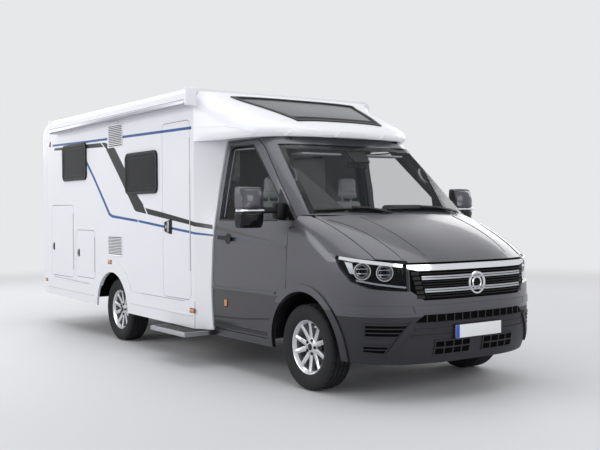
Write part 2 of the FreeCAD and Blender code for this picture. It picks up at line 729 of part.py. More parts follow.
def make_bumper(region):
    """A bumper's skin round the nose, between the two arches."""
    piece = lower_shell.common(side_prism(region, -BEYOND, BEYOND))
    return biggest(piece.cut([both(lamp_space), grille_space, both(flare_drum)]))


def make_grille():
    face = lower_outer.common(end_prism(grille_outline(0.0), front_axle + 600, front_axle + BEYOND))
    back = cab_form(LOWER_FORM, NOSE_SQUARE, size.grille_depth, reach_down=60.0, reach_up=60.0)
    return biggest(face.cut(back))


def make_headlamps():
    """Both headlamps, each one closed body behind its lens."""
    region = side_prism(lamp_region(0.0), -BEYOND, -(size.grille_half + 4 + seat))
    low = lower_outer.common(region)
    low = low.cut(cab_form(LOWER_FORM, NOSE_SQUARE, size.lamp_depth, reach_down=60.0, reach_up=60.0))
    high = bonnet_outer.common(region)
    high = high.cut(cab_form(BONNET_FORM, NOSE_SQUARE, size.lamp_depth, reach_down=60.0))
    return both(biggest(low.fuse(high)))


front_wings = node(formed("front_wings", make_wings()), "front_wings")
bonnet = node(formed("bonnet", make_bonnet()), "bonnet")
bumper_upper = node(formed("bumper_upper", make_bumper(bumper_region(0.0))), "bumper_upper")
bumper_lower = node(formed("bumper_lower", make_bumper(lower_bumper_region(0.0)).fuse(
    Part.makeBox(40, 520, 110, at(front_axle + size.front_overhang - 40, -260, 474)))), "bumper_lower")
grille = node(formed("grille", make_grille()), "grille")
headlamps = node(formed("headlamps", make_headlamps()), "headlamps")


def make_mirror():
    """The right door mirror: an arm from the door to a tall rounded head."""
    reach = size.mirror_span / 2
    head = Part.makeBox(150, 235, 400, at(front_axle - 478, -reach, 1330))
    head = head.makeFillet(46, [edge for edge in head.Edges if edge.Length < 399])
    arm = Part.makeBox(70, reach.number - 235 - 950, 62, at(front_axle - 416, 234 - reach, 1462))
    foot = Part.makeBox(110, 85, 120, at(front_axle - 436, -1010, 1432))
    door_side = cab_form(CELL_FORM, CELL_SQUARE, -size.fit_gap)
    return biggest(head.fuse([arm, foot]).cut(door_side))


right_door = make_cab_door()
right_glass = make_door_glass()
right_mirror = make_mirror()
for side_name, side in (("left", 1), ("right", -1)):
    for label, shape in (("cab_door", right_door), ("door_glass", right_glass),
                         ("mirror", right_mirror)):
        piece = shape if side < 0 else mirrored(shape)
        node(formed(f"{label}_{side_name}", piece), f"{label}_{side_name}")

# The cab's inside: floor, toe board, shelf over the wheels and firewall are one pressing.
shell_half = size.cab_half_width - size.cab_wall - 46
floor_top = size.cab_floor_height + size.floor_sheet
shelf_top = size.seat_shelf_height + size.floor_sheet
firewall_front = front_axle - size.firewall_aft
toe_front = front_axle - size.toe_aft
cab_floor = node(fuse("cab_floor", [
    block("cab_floor_pan", (body_front, toe_front), (-shell_half, shell_half),
          (size.cab_floor_height, floor_top)),
    block("toe_board", (toe_front - size.floor_sheet, toe_front), (-shell_half, shell_half),
          (size.cab_floor_height, shelf_top)),
    block("wheel_shelf", (toe_front - size.floor_sheet, firewall_front), (-shell_half, shell_half),
          (size.seat_shelf_height, shelf_top)),
    block("firewall", (firewall_front - size.floor_sheet, firewall_front),
          (-shell_half, shell_half), (size.seat_shelf_height, 1355)),
]), "cab_floor")

dash_low = shelf_top + seat
DASH_PROFILE = ((-66, dash_low), (-66, 1366), (-156, 1370), (-200, 1392), (-430, 1352), (-520, 1270), (-500, 1120),
                (-330, 1010), (-300, dash_low))
dashboard = node(plate("dashboard", "side", -830.0, 1660.0, [
    (front_axle + along, up) for along, up in DASH_PROFILE]), "dashboard")


def make_steering_wheel():
    """A rim, three spokes and a hub on a raked column in front of the left seat."""
    ring = Part.makeTorus(185, 15)
    hub = Part.makeCylinder(62, 40, Vector(0, 0, -30))
    spokes = [Part.makeBox(180, 34, 14, Vector(0, -17, -8)) for _ in range(3)]
    for index, spoke in enumerate(spokes):
        spoke.rotate(Vector(), Vector(0, 0, 1), 90 + 120 * index)
    column = Part.makeCylinder(26.2, 184, Vector(0, 0, -208.5))
    wheel = ring.fuse([hub, column] + spokes)
    wheel.rotate(Vector(), Vector(0, 1, 0), -32)
    wheel.translate(at(front_axle - 625, 440, 1270))
    return wheel


steering_wheel = node(formed("steering_wheel", make_steering_wheel()), "steering_wheel")


def make_seats():
    """Two cab seats, each a box foot, cushion, backrest and headrest."""
    foot = Part.makeBox(420, 440, 250, at(front_axle - 1290, -670, float(floor_top)))
    cushion = Part.makeBox(520, 520, 150, at(front_axle - 1290, -710, float(floor_top) + 250))
    cushion = cushion.makeFillet(45, cushion.Edges)
    back = Part.makeBox(130, 510, 680, at(front_axle - 1320, -705, float(floor_top) + 370))
    back = back.makeFillet(45, back.Edges)
    head = Part.makeBox(105, 260, 215, at(front_axle - 1305, -580, float(floor_top) + 1058))
    head = head.makeFillet(42, head.Edges)
    neck = Part.makeBox(24, 90, 60, at(front_axle - 1265, -495, float(floor_top) + 1020))
    return both(foot.fuse([cushion, back, head, neck]))


seats = node(formed("seats", make_seats()), "seats")

# The hood over the cab: level outlines from the rear corner round to the nose, as distances
# aft of the front axle and half widths, mirrored to the other side.
HOOD_FORM = (
    (0.0, ((0, 0), (170, 42), (370, 100), (620, 160), (800, 230), (940, 410), (1030, 680), (1060, 1100))),
    (70.0, ((0, 0), (170, 34), (370, 85), (620, 138), (810, 205), (940, 385), (1020, 660), (1055, 1100))),
    (160.0, ((0, 0), (170, 38), (360, 97), (570, 162), (730, 250), (830, 420), (885, 670), (905, 1100))),
    (250.0, ((0, 0), (160, 50), (320, 115), (470, 195), (570, 300), (635, 460), (670, 680), (685, 1100))),
    (340.0, ((0, 4), (110, 60), (210, 135), (300, 230), (360, 340), (400, 480), (425, 680), (435, 1100))),
    (420.0, ((0, 18), (50, 70), (95, 150), (135, 240), (165, 350), (185, 490), (200, 680), (205, 1100))),
    (490.0, ((0, 66), (8, 120), (14, 200), (18, 300), (20, 400), (22, 540), (24, 700), (25, 1100))),
)


def hood_contour(height, outline, inset):
    """One level outline of the hood. Its columns run forward from the body's front edge and
    inward from the body's side."""
    half = [(float(body_front) + forward, -(float(size.body_half_width) - inward))
            for forward, inward in outline]
    ring = half + [(x, -y) for x, y in reversed(half[:-1])]
    points = []
    for index, (x, y) in enumerate(ring):
        before = ring[max(index - 1, 0)]
        after = ring[min(index + 1, len(ring) - 1)]
        along = Vector(after[0] - before[0], after[1] - before[1], 0).normalize()
        shift = Vector(-along.y, along.x, 0) * inset
        if index in (0, len(ring) - 1):
            shift = Vector(0, math.copysign(inset, -y), 0)
        points.append(Vector(x, y, float(height)) + shift)
    curve = Part.BSplineCurve()
    curve.interpolate(Points=points)
    behind = [Vector(points[0]), Vector(points[-1])]
    if inset > 0:
        behind = [point - Vector(60, 0, 0) for point in behind]
    corners = [points[-1], behind[1], behind[0], points[0]]
    edges = [curve.toShape()]
    for start_point, end_point in zip(corners, corners[1:]):
        if (end_point - start_point).Length > 1.0:
            edges.append(Part.LineSegment(start_point, end_point).toShape())
    return Part.Wire(edges)


def hood_solid(inset, sink, levels, reach_down=0.0):
    """A solid through some of the hood's levels."""
    wires = []
    for index, (rise, outline) in enumerate(HOOD_FORM[:levels]):
        height = size.hood_low_height + rise - sink
        if index == 0:
            height = height - reach_down
        wires.append(hood_contour(height, outline, inset))
    return Part.makeLoft(wires, True, False)


hood_outer = hood_solid(0.0, 0.0, len(HOOD_FORM))


def skylight_plan(grow):
    """The skylight seen from above."""
    front = front_axle - size.skylight_front_aft + grow
    rear = front_axle - size.skylight_rear_aft - grow
    front_half = size.skylight_front_half + grow
    rear_half = size.skylight_rear_half + grow
    return [(rear, -rear_half), (front, -front_half), (front, front_half), (rear, rear_half)]


def make_hood():
    """The hood's shell with its underside plate, open to the cab and to the living body."""
    wall = float(size.hood_wall)
    shell = hood_outer.cut(hood_solid(wall, wall, 6, 60.0))
    slab = hood_outer.common(Part.makeBox(3000, 3000, float(size.hood_sole),
                                          at(body_front - 100, -1500, size.hood_low_height)))
    passage = plan_prism([(body_front - 100, -740), (front_axle - 890, -740),
                          (front_axle - 770, -600), (front_axle - 770, 600),
                          (front_axle - 890, 740), (body_front - 100, 740)], 2000, 2300)
    skylight_hole = plan_prism(skylight_plan(seat), 2200, 2800)
    return biggest(shell.fuse(slab.cut(passage)).cut(skylight_hole))


def make_skylight():
    """One pane that follows the hood, as deep as its frame."""
    pane = hood_outer.common(plan_prism(skylight_plan(0.0), 2200, 2800))
    return biggest(pane.cut(hood_solid(0.0, 26.0, len(HOOD_FORM))))


overcab_hood = node(formed("overcab_hood", make_hood()), "overcab_hood")
skylight = node(formed("skylight", make_skylight()), "skylight")

# The shoulder panels lead from the body's sides in to the cab's rear edge.
SHOULDER_LIP = 12.0


def make_shoulders():
    front = cab_rear - gap
    levels = [(size.skirt_low_height, 21)] + list(CELL_NARROWING[1:-1])
    levels.append((size.hood_low_height - seat, CELL_NARROWING[-1][1]))
    wires = []
    for height, narrowing in levels:
        lip = WIDEST - narrowing + SHOULDER_LIP
        outline = [(body_front, -size.body_half_width), (front, -lip),
                   (front, -(lip - size.shoulder_sheet)),
                   (body_front, -(size.body_half_width - size.shoulder_sheet))]
        points = [at(x, y, height) for x, y in outline]
        wires.append(Part.makePolygon(points + [points[0]]))
    return both(Part.makeLoft(wires, True, False))


shoulders = node(formed("shoulders", make_shoulders()), "shoulders")

# The living body: flat sides with their openings, and a roof and rear wall with rounded edges.
side_tail = wall_tail + size.roof_tail_radius + 5
side_top = size.roof_height - size.roof_edge_radius


def opening(front_aft, width, low, tall, grow, radius):
    """A rounded opening's left, low, width, height and corner radius."""
    left = front_axle - front_aft - width
    return (left - grow, low - grow, width + 2 * grow, tall + 2 * grow, radius + grow)


def entry(grow):
    return opening(size.entry_front_aft, size.entry_width, size.entry_low_height, size.entry_tall,
                   grow, size.corner_radius)


def tall_hatch(grow):
    return opening(size.tall_front_aft, size.tall_width, size.tall_low_height, size.tall_tall,
                   grow, size.corner_radius)


def gas_hatch(grow):
    return opening(size.gas_front_aft, size.gas_width, size.gas_low_height, size.gas_tall,
                   grow, size.corner_radius)


def cassette_hatch(grow):
    return opening(size.cassette_front_aft, size.cassette_width, size.cassette_low_height,
                   size.cassette_tall, grow, size.corner_radius)


def rear_window(grow):
    return opening(size.rear_window_front_aft, size.rear_window_width, size.rear_window_low,
                   size.rear_window_tall, grow, size.window_corner)


def front_window(grow):
    return opening(size.front_window_front_aft, size.front_window_width, size.front_window_low,
                   size.front_window_tall, grow, size.window_corner)


wall_outline = [(side_tail, size.wall_low_height), (body_front, size.wall_low_height),
                (body_front, side_top), (side_tail, side_top)]
arch = (rear_axle, size.tyre_radius, size.rear_arch_radius)
inner_half = size.body_half_width - size.body_wall


def body_wall_side(name, side, closed, glazed):
    """One side wall: its openings are cut, and every closed one gets a jamb behind its lid."""
    level = -size.body_half_width if side < 0 else inner_half
    openings = [region(gap) for region in closed] + [region(0.0) for region in glazed]
    pieces = [plate(name + "_panel", "side", level, size.body_wall, wall_outline, openings, [arch])]
    jamb_level = -inner_half if side < 0 else inner_half - size.jamb_sheet
    for index, region in enumerate(closed):
        pieces.append(plate(f"{name}_jamb_{index}", "side", jamb_level, size.jamb_sheet,
                            region(size.jamb_cover), [region(-size.jamb_inset)]))
    return node(fuse(name, pieces), name)


def lid(name, side, region):
    """A door or hatch that lies flush in its wall, just clear of its jamb."""
    level = -size.body_half_width if side < 0 else inner_half + seat
    return node(plate(name, "side", level, size.body_wall - seat, region(0.0)), name)


windows = (rear_window, front_window)
body_wall_side("side_wall_right", -1, (entry, tall_hatch, gas_hatch), windows)
body_wall_side("side_wall_left", 1, (tall_hatch, cassette_hatch), windows)
lid("entry_door", -1, entry)
lid("tall_hatch_right", -1, tall_hatch)
lid("gas_hatch_right", -1, gas_hatch)
lid("tall_hatch_left", 1, tall_hatch)
lid("service_hatch_left", 1, cassette_hatch)


def make_body_windows():
    """Four hinged acrylic windows in their frames, two on each side."""
    panes = []
    for left, low, width, tall, radius in (rear_window(-seat), front_window(-seat)):
        outer_face = -(size.body_half_width + size.window_proud)
        depth = float(size.window_sheet + size.window_proud)
        pane = Part.makeBox(float(width), depth, float(tall), at(left, outer_face, low))
        corners = [edge for edge in pane.Edges if abs(edge.Length - depth) < 0.01]
        panes.append(both(pane.makeFillet(float(radius), corners)))
    return Part.makeCompound(panes)


body_windows = node(formed("body_windows", make_body_windows()), "body_windows")


def rounded_body(inset):
    """The living body's outer form with its rounded edges, moved inwards by the inset."""
    inset = float(inset)
    x_low = float(wall_tail) + inset
    x_high = float(body_front) + inset
    half = float(size.body_half_width) - inset
    z_low = 300.0
    top = float(size.roof_height) - inset
    solid = Part.makeBox(x_high - x_low, 2 * half, top - z_low, Vector(x_low, -half, z_low))
    long_edges = []
    tail_edges = []
    corner_edges = []
    for edge in solid.Edges:
        middle = edge.CenterOfMass
        if abs(middle.z - top) < 1 and abs(abs(middle.y) - half) < 1:
            long_edges.append(edge)
        if abs(middle.z - top) < 1 and abs(middle.x - x_low) < 1:
            tail_edges.append(edge)
        if abs(middle.x - x_low) < 1 and abs(abs(middle.y) - half) < 1:
            corner_edges.append(edge)
    radius = float(size.rear_corner_radius) - inset
    solid = solid.makeFillet(float(size.roof_tail_radius) - inset, tail_edges)
    return solid, radius, x_low, top, half


def smooth_body(inset):
    solid, radius, x_low, top, half = rounded_body(inset)
    rim = []
    for edge in solid.Edges:
        middle = edge.CenterOfMass
        on_side = abs(abs(middle.y) - half) < 1
        if on_side and (middle.z > 1000) and middle.x < float(body_front) - 50 + float(inset):
            rim.append(edge)
    return solid.makeFillet(float(size.roof_edge_radius) - float(inset), rim)


def make_body_shell():
    return smooth_body(0.0).cut(smooth_body(size.body_wall))


body_shell = make_body_shell()
roof_zone = Part.makeBox(9000, 3000, 900, at(side_tail, -1500, side_top))
tail_zone = Part.makeBox(900, 3000, 4000, at(side_tail - 900, -1500, size.wall_low_height))
front_zone = Part.makeBox(9000, 3000, 4000, at(body_front, -1500, 0))


def make_roof():
    """The roof panel with its two hatch openings."""
    panel = body_shell.common(roof_zone).cut(front_zone)
    for middle_aft, side in ((size.big_hatch_aft, size.big_hatch_side),
                             (size.small_hatch_aft, size.small_hatch_side)):
        half = float(side) / 2 - 40
        hole = Part.makeBox(2 * half, 2 * half, 400, at(front_axle - middle_aft - half, -half, 2400))
        panel = panel.cut(hole)
    return biggest(panel)


roof = node(formed("roof", make_roof()), "roof")
rear_wall = node(formed("rear_wall", biggest(body_shell.common(tail_zone))), "rear_wall")


def hatch_frame(name, middle_aft, side):
    """The raised frame round a roof opening and the lid that closes it."""
    half = side / 2
    middle = front_axle - middle_aft
    x = (middle - half, middle + half)
    y = (-half, half)
    frame_top = size.roof_height + size.hatch_frame_tall
    ring = block(name + "_ring", x, y, (size.roof_height, frame_top))
    hole = block(name + "_hole", (x[0] + 40, x[1] - 40), (y[0] + 40, y[1] - 40),
                 (size.roof_height - 10, frame_top + 10))
    frame = cut(name + "_frame", ring, hole)
    lid_low = frame_top + seat
    cover = block(name + "_lid", (x[0] - 12, x[1] + 12), (y[0] - 12, y[1] + 12),
                (lid_low, size.roof_height + size.hatch_proud))
    return frame, cover


big_frame, big_lid = hatch_frame("big_hatch", size.big_hatch_aft, size.big_hatch_side)
small_frame, small_lid = hatch_frame("small_hatch", size.small_hatch_aft, size.small_hatch_side)
hatch_frames = node(fuse("hatch_frames", [big_frame, small_frame]), "hatch_frames")
roof_lid_front = node(big_lid, "roof_lid_front")
roof_lid_rear = node(small_lid, "roof_lid_rear")

# The living body's floor, with the boxes over the rear wheels.
floor_low = size.body_floor_height - size.body_floor_sheet
floor_slab = block("floor_slab", (wall_tail + size.body_wall + 90, body_front),
                   (-inner_half, inner_half), (floor_low, size.body_floor_height))
house_blocks = [floor_slab]
house_holes = []
for side_name, side in (("left", 1), ("right", -1)):
    y_outer = inner_half * side
    y_inner = size.wheelhouse_inner * side
    sheet_y = size.wheelhouse_sheet * side
    outer_y = (y_inner, y_outer) if side > 0 else (y_outer, y_inner)
    hole_y = (y_inner + sheet_y, y_outer + 40) if side > 0 else (y_outer - 40, y_inner + sheet_y)
    house_blocks.append(block(
        f"wheelhouse_{side_name}",
        (rear_axle - size.wheelhouse_half - size.wheelhouse_sheet,
         rear_axle + size.wheelhouse_half + size.wheelhouse_sheet),
        outer_y, (floor_low, size.wheelhouse_top + size.wheelhouse_sheet)))
    house_holes.append(block(
        f"wheelhouse_hole_{side_name}",
        (rear_axle - size.wheelhouse_half, rear_axle + size.wheelhouse_half),
        hole_y, (floor_low - 20, size.wheelhouse_top)))
living_floor = node(cut("living_floor", fuse("floor_and_houses", house_blocks),
                        fuse("house_holes", house_holes)), "living_floor")


def make_skirts():
    """The skirts under both walls, with the raised flange round the rear wheel arches."""
    outer_y = -(size.body_half_width + size.skirt_proud)
    outline = [(side_tail, size.skirt_tail_height), (rear_axle - 440, size.skirt_tail_height - 28),
               (rear_axle + 440, size.skirt_low_height + 14), (body_front, size.skirt_low_height),
               (body_front, size.wall_low_height - seat), (side_tail, size.wall_low_height - seat)]
    panel = side_prism(outline, outer_y, outer_y + size.skirt_sheet)
    flange = drum(size.rear_arch_radius + size.rear_flange_width, outer_y,
                  -(size.body_half_width + seat), rear_axle, size.tyre_radius)
    flange = flange.common(Part.makeBox(2000, 400, 900, at(
        rear_axle - 1000, -1300, size.wall_low_height - 60)))
    opening_drum = drum(size.rear_arch_radius, -1400, -900, rear_axle, size.tyre_radius)
    return both(panel.fuse(flange).cut(opening_drum))


skirts = node(formed("skirts", make_skirts()), "skirts")


def make_rear_bumper():
    """The rear apron: one piece round the tail, under the rear wall."""
    half = float(size.body_half_width + size.skirt_proud)
    sheet_depth = 60.0
    low = float(size.skirt_tail_height)
    tall = float(size.wall_low_height - seat) - low
    length = float(side_tail - tail)
    block_out = Part.makeBox(length, 2 * half, tall, at(tail, -half, low))
    corners = [edge for edge in block_out.Edges
               if abs(edge.Length - tall) < 0.01 and edge.CenterOfMass.x < float(tail) + 1]
    block_out = block_out.makeFillet(float(size.rear_corner_radius) + 20, corners)
    inside = Part.makeBox(length, 2 * half - 2 * float(size.skirt_sheet), tall + 20,
                          at(tail + sheet_depth, -half + float(size.skirt_sheet), low - 10))
    return block_out.cut(inside)


rear_bumper = node(formed("rear_bumper", make_rear_bumper()), "rear_bumper")
tail_lamps = node(fuse("tail_lamps", [
    block(f"tail_lamp_{side_name}", (tail + 8, wall_tail), y, (700, 1180))
    for side_name, y in (("left", (840, 970)), ("right", (-970, -840)))]), "tail_lamps")


def make_awning():
    """The rolled awning's case along the top edge of the right side."""
    reach = size.body_half_width + size.awning_depth
    low = size.awning_low_height
    x_high = front_axle - size.awning_front_aft
    x_low = x_high - size.awning_length
    wall_y = -(size.body_half_width + seat)
    tall = size.awning_tall
    outline = [(wall_y, low + 10), (-reach + 28, low), (-reach, low + 34), (-reach, low + tall - 60),
               (-reach + 40, low + tall - 8), (wall_y - 20, low + tall), (wall_y, low + tall - 8)]
    case = end_prism(outline, x_low, x_high)
    return case.cut(smooth_body(-seat)).cut(hood_outer)


awning = node(formed("awning", make_awning()), "awning")

# The running gear under the floors.
rail_half = size.rail_half_gap
rails = []
for side_name, side in (("left", 1), ("right", -1)):
    middle = rail_half * side
    across = (middle - size.rail_width / 2, middle + size.rail_width / 2)
    rails.append(block(f"rail_front_{side_name}",
                       (body_front - 60, front_axle + size.rail_nose_fore), across,
                       (size.rail_low_height, size.cab_floor_height)))
    rails.append(block(f"rail_rear_{side_name}", (front_axle - size.rail_tail_aft, body_front),
                       across, (size.rail_low_height, floor_low)))
CROSS_AFT = (5450.0, 4700.0, 2900.0, 1900.0)
for index, aft in enumerate(CROSS_AFT):
    rails.append(block(f"cross_member_{index}", (front_axle - aft, front_axle - aft + 70),
                       (-rail_half, rail_half), (size.rail_low_height + 20, floor_low)))
rails.append(block("nose_beam", (front_axle + size.rail_nose_fore - 60,
                                 front_axle + size.rail_nose_fore), (-640, 640),
                   (size.rail_low_height, size.rail_low_height + 120)))
for index, aft in enumerate((5300.0, 4600.0, 2820.0, 1880.0)):
    for side in (1, -1):
        y = (rail_half, 1080) if side > 0 else (-1080, -rail_half)
        rails.append(block(f"outrigger_{index}_{side + 1}", (front_axle - aft, front_axle - aft + 40),
                           y, (floor_low - 40, floor_low)))
chassis = node(fuse("chassis", rails), "chassis")
engine_half = rail_half - size.rail_width / 2 - seat
engine_block = node(block(
    "engine_block", (front_axle + size.engine_rear_fore,
                     front_axle + size.engine_rear_fore + size.engine_length),
    (-engine_half, engine_half),
    (size.engine_low_height, size.engine_low_height + size.engine_tall)), "engine_block")
tanks = node(fuse("tanks", [
    block("waste_tank", (front_axle - 2790, front_axle - 2010), (-360, 380), (330, floor_low - seat)),
    block("spare_tank", (front_axle - 4560, front_axle - 4200), (-360, 360), (330, floor_low - seat)),
]), "tanks")

# Steering axes lean inwards at the top, through the lower ball joint and the strut's mount.
PIN_LOW = (790.0, 235.0)
PIN_HIGH = (655.0, 860.0)


def along_pin(side, low_height, high_height, radius):
    """A round bar on the steering axis between two heights."""
    slope = (PIN_HIGH[0] - PIN_LOW[0]) / (PIN_HIGH[1] - PIN_LOW[1])
    start = at(front_axle, side * (PIN_LOW[0] + slope * (low_height - PIN_LOW[1])), low_height)
    end = at(front_axle, side * (PIN_LOW[0] + slope * (high_height - PIN_LOW[1])), high_height)
    return Part.makeCylinder(radius, (end - start).Length, start, end - start)


def make_knuckle(side):
    """The steering knuckle with its stub axle."""
    block_y = 722.0 if side > 0 else -802.0
    upright_block = Part.makeBox(84, 80, 222, at(front_axle - 42, block_y, 243))
    stub_length = float(size.front_track_half) + 48 - 800
    start = at(front_axle, side * 800.0, size.tyre_radius)
    stub = Part.makeCylinder(float(size.stub_radius), stub_length, start, Vector(0, side, 0))
    ball = Part.makeSphere(20, at(front_axle, side * 785.5, 256))
    return upright_block.fuse([stub, ball])


def make_front_axle():
    """Subframe, lower arms, strut towers and struts."""
    rail_low = float(size.rail_low_height)
    tower_top = float(size.seat_shelf_height - seat)
    pieces = [Part.makeBox(260, 840, 118, at(front_axle - 320, -420, rail_low - 118))]
    for side in (1, -1):
        arm = plan_prism([(front_axle - 310, side * 380.0), (front_axle - 60, side * 380.0),
                          (front_axle + 34, side * 770.0), (front_axle + 34, side * 812.0),
                          (front_axle - 34, side * 812.0)], 204, 235.7)
        web_y = 465.0 if side > 0 else -489.0
        web = Part.makeBox(90, 24, tower_top - rail_low, at(front_axle - 45, web_y, rail_low))
        drop = Part.makeBox(230, 60, 130, at(front_axle - 300, 350 if side > 0 else -410, 204))
        top_y = 465.0 if side > 0 else -710.0
        top = Part.makeBox(90, 245, 24, at(front_axle - 45, top_y, tower_top - 24))
        strut = along_pin(side, 496.0, tower_top - 10, 27.0)
        pieces += [arm, web, drop, top, strut]
    return pieces[0].fuse(pieces[1:])


front_axle_frame = node(formed("front_axle", make_front_axle()), "front_axle")
for side_name, side in (("left", 1), ("right", -1)):
    node(formed(f"knuckle_{side_name}", make_knuckle(side)), f"knuckle_{side_name}")
stub_end = size.rear_track_half + 48
beam_end = size.rear_track_half - size.tyre_width / 2 - 12
rear_axle_frame = node(fuse("rear_axle", [
    rod("rear_beam", size.axle_beam_radius, (-beam_end, beam_end), rear_axle, size.tyre_radius),
    rod("rear_stubs", size.stub_radius, (-stub_end, stub_end), rear_axle, size.tyre_radius),
    block("trailing_arm_left", (rear_axle - 30, rear_axle + 520), (395, 465), (330, size.rail_low_height)),
    block("trailing_arm_right", (rear_axle - 30, rear_axle + 520), (-465, -395), (330, size.rail_low_height)),
]), "rear_axle")


def make_liners():
    """The arch liners over the front wheels."""
    liner_radius = size.cab_arch_radius - seat
    ring = drum(liner_radius, -983, -720, front_axle, wheel_height)
    ring = ring.cut(drum(liner_radius - size.liner_wall, -990, -700, front_axle, wheel_height))
    ring = ring.common(Part.makeBox(2000, 600, 600, at(front_axle - 1000, -1100, wheel_height + 20)))
    keep = cab_form(LOWER_FORM, NOSE_SQUARE, size.panel_skin + seat)
    return both(biggest(ring.common(keep)))


arch_liners = node(formed("arch_liners", make_liners()), "arch_liners")


def set_wheel_place(body, x, y, side):
    body.Placement = Placement(Vector(), Rotation(Vector(0, 0, 1), 0 if side > 0 else 180))
    place(body, x, y, size.tyre_radius)


def revolve(body, name, outline):
    """Turn an outline of widths and radii round the wheel's axis."""
    sketch = new_sketch(body, name + "_profile", "end", 0.0)
    draw_outline(sketch, outline)
    turned = body.newObject("PartDesign::Revolution", name + "_turned")
    turned.Profile = sketch
    turned.ReferenceAxis = (sketch, ["H_Axis"])
    turned.Angle = 360
    return turned


def make_tyre(label, x, y, side):
    body = document.addObject("PartDesign::Body", label)
    half = size.tyre_width / 2
    bead = size.rim_width / 2
    inner = size.rim_radius + seat
    outline = [
        (-bead, inner), (-(half - 6), inner + 22), (-half, inner + 52),
        (-(half - 5), size.tyre_radius - size.tyre_shoulder - 12),
        (-(half - 16), size.tyre_radius - 9), (-(half - 36), size.tyre_radius),
        (half - 36, size.tyre_radius), (half - 16, size.tyre_radius - 9),
        (half - 5, size.tyre_radius - size.tyre_shoulder - 12),
        (half, inner + 52), (half - 6, inner + 22), (bead, inner),
    ]
    revolve(body, label, outline)
    set_wheel_place(body, x, y, side)
    return node(body, label)


def make_rim(label, x, y, side):
    """A rim barrel with a hub and five pairs of spokes."""
    body = document.addObject("PartDesign::Body", label)
    half = size.rim_width / 2
    well = size.rim_well_radius
    wall = size.rim_wall
    flange = size.rim_radius
    disc_face = half - size.hub_face_inset
    disc_back = disc_face - size.spoke_depth
    outline = [
        (-half, flange), (-(half - 10), flange), (-(half - 24), well + 14), (-20.0, well),
        (half - 40, well), (half - 24, well + 14), (half - 10, flange), (half, flange),
        (half, flange - wall), (half - 18, well + 14 - wall), (half - 34, well - wall),
        (-26.0, well - wall), (-(half - 18), well + 14 - wall), (-half, flange - wall),
    ]
    revolve(body, label + "_barrel", outline)
    spoke_sketch = new_sketch(body, label + "_spoke_sketch", "side", disc_back)
    for offset in (-size.spoke_spread, size.spoke_spread):
        draw_outline(spoke_sketch, [
            (size.hub_radius - 22, offset - size.spoke_width / 2),
            (well - wall / 2, offset * 1.7 - size.spoke_width / 2),
            (well - wall / 2, offset * 1.7 + size.spoke_width / 2),
            (size.hub_radius - 22, offset + size.spoke_width / 2)])
    spokes = body.newObject("PartDesign::Pad", label + "_spokes")
    spokes.Profile = spoke_sketch
    bind(spokes, "Length", size.spoke_depth)
    spokes.Reversed = True
    pattern = body.newObject("PartDesign::PolarPattern", label + "_spoke_ring")
    pattern.Originals = [spokes]
    pattern.Axis = (spoke_sketch, ["N_Axis"])
    pattern.Angle = 360
    bind(pattern, "Occurrences", size.spoke_pairs)
    body.Tip = pattern
    hub_outline = [(-20.0, size.stub_radius + 0.05), (-20.0, 60.0), (disc_back, size.hub_radius),
                   (disc_face, size.hub_radius), (disc_face, 0.0), (51.0, 0.0),
                   (51.0, size.stub_radius + 0.05)]
    revolve(body, label + "_hub", hub_outline)
    set_wheel_place(body, x, y, side)
    return node(body, label)


for corner, x, track in (("front", front_axle, size.front_track_half),
                         ("rear", rear_axle, size.rear_track_half)):
    for side_name, side in (("left", 1), ("right", -1)):
        make_tyre(f"tyre_{corner}_{side_name}", x, track * side, side)
        make_rim(f"rim_{corner}_{side_name}", x, track * side, side)

# The entrance step slides out from under the floor.
step = node(block("step", step_x, step_y, (size.step_low_height, step_top)), "step")
runner_y = (step_y[0] + 260, -700.0)
cover_z = (size.cab_floor_height - size.step_cover, size.cab_floor_height)
step_case = node(fuse("step_case", [
    block("step_runner_rear", (step_x[0] - 30, step_x[0] - seat), runner_y,
          (size.step_low_height, floor_low)),
    block("step_runner_front", (step_x[1] + seat, step_x[1] + size.step_side), (-900.0, -700.0),
          (size.step_low_height, size.cab_floor_height)),
    block("step_runner_foot", (step_x[1] + seat, step_x[1] + size.step_side),
          (step_y[0] + 260, -900.0), (size.step_low_height, step_top + gap)),
    block("step_cover", (step_x[0] - 30, step_x[1] + size.step_side), (-900.0, -700.0), cover_z),
]), "step_case")

# Furniture that shows through the windows: benches, kitchen, wardrobe and bed.
furniture = node(fuse("furniture", [
    block("bench", (front_axle - 2900, front_axle - 2300), (330, 1040), (600, 1060)),
    block("bench_back", (front_axle - 2900, front_axle - 2780), (330, 1040), (600, 1500)),
    block("kitchen", (front_axle - 3150, front_axle - 2420), (-1040, -480), (600, 1480)),
    block("bed", (wall_tail + 240, front_axle - 4300), (-1040, 1040), (1560, 1640)),
    block("bed_front", (front_axle - 4340, front_axle - 4300), (-1040, 1040), (600, 1640)),
]), "furniture")

document.recompute()
for item in document.Objects:
    if "Invalid" in item.State or "Error" in item.State:
        raise RuntimeError(f"{item.Name} could not be worked out")
for feature in nodes:
    if feature.Shape.isNull() or not feature.Shape.isValid():
        raise RuntimeError(f"{feature.Label} has no valid shape")

os.makedirs("parts", exist_ok=True)
for feature in nodes:
    feature.Shape.exportStep(f"parts/{feature.Label}.step")
    print(feature.Label, len(feature.Shape.Solids), "solids", round(feature.Shape.Volume / 1e6, 2),
          "litres")
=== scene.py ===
# %% [markdown]
# # A camper van, dressed in Blender
# The van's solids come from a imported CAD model. They are loaded as a fixed frame, and every
# piece made here is placed by that frame, in metres, so nothing has to be fitted by eye.
# Lengths along the van are given from the front axle: forward is positive.

import json
import math

import bmesh
import bpy
from mathutils import Matrix, Vector
from mathutils.bvhtree import BVHTree


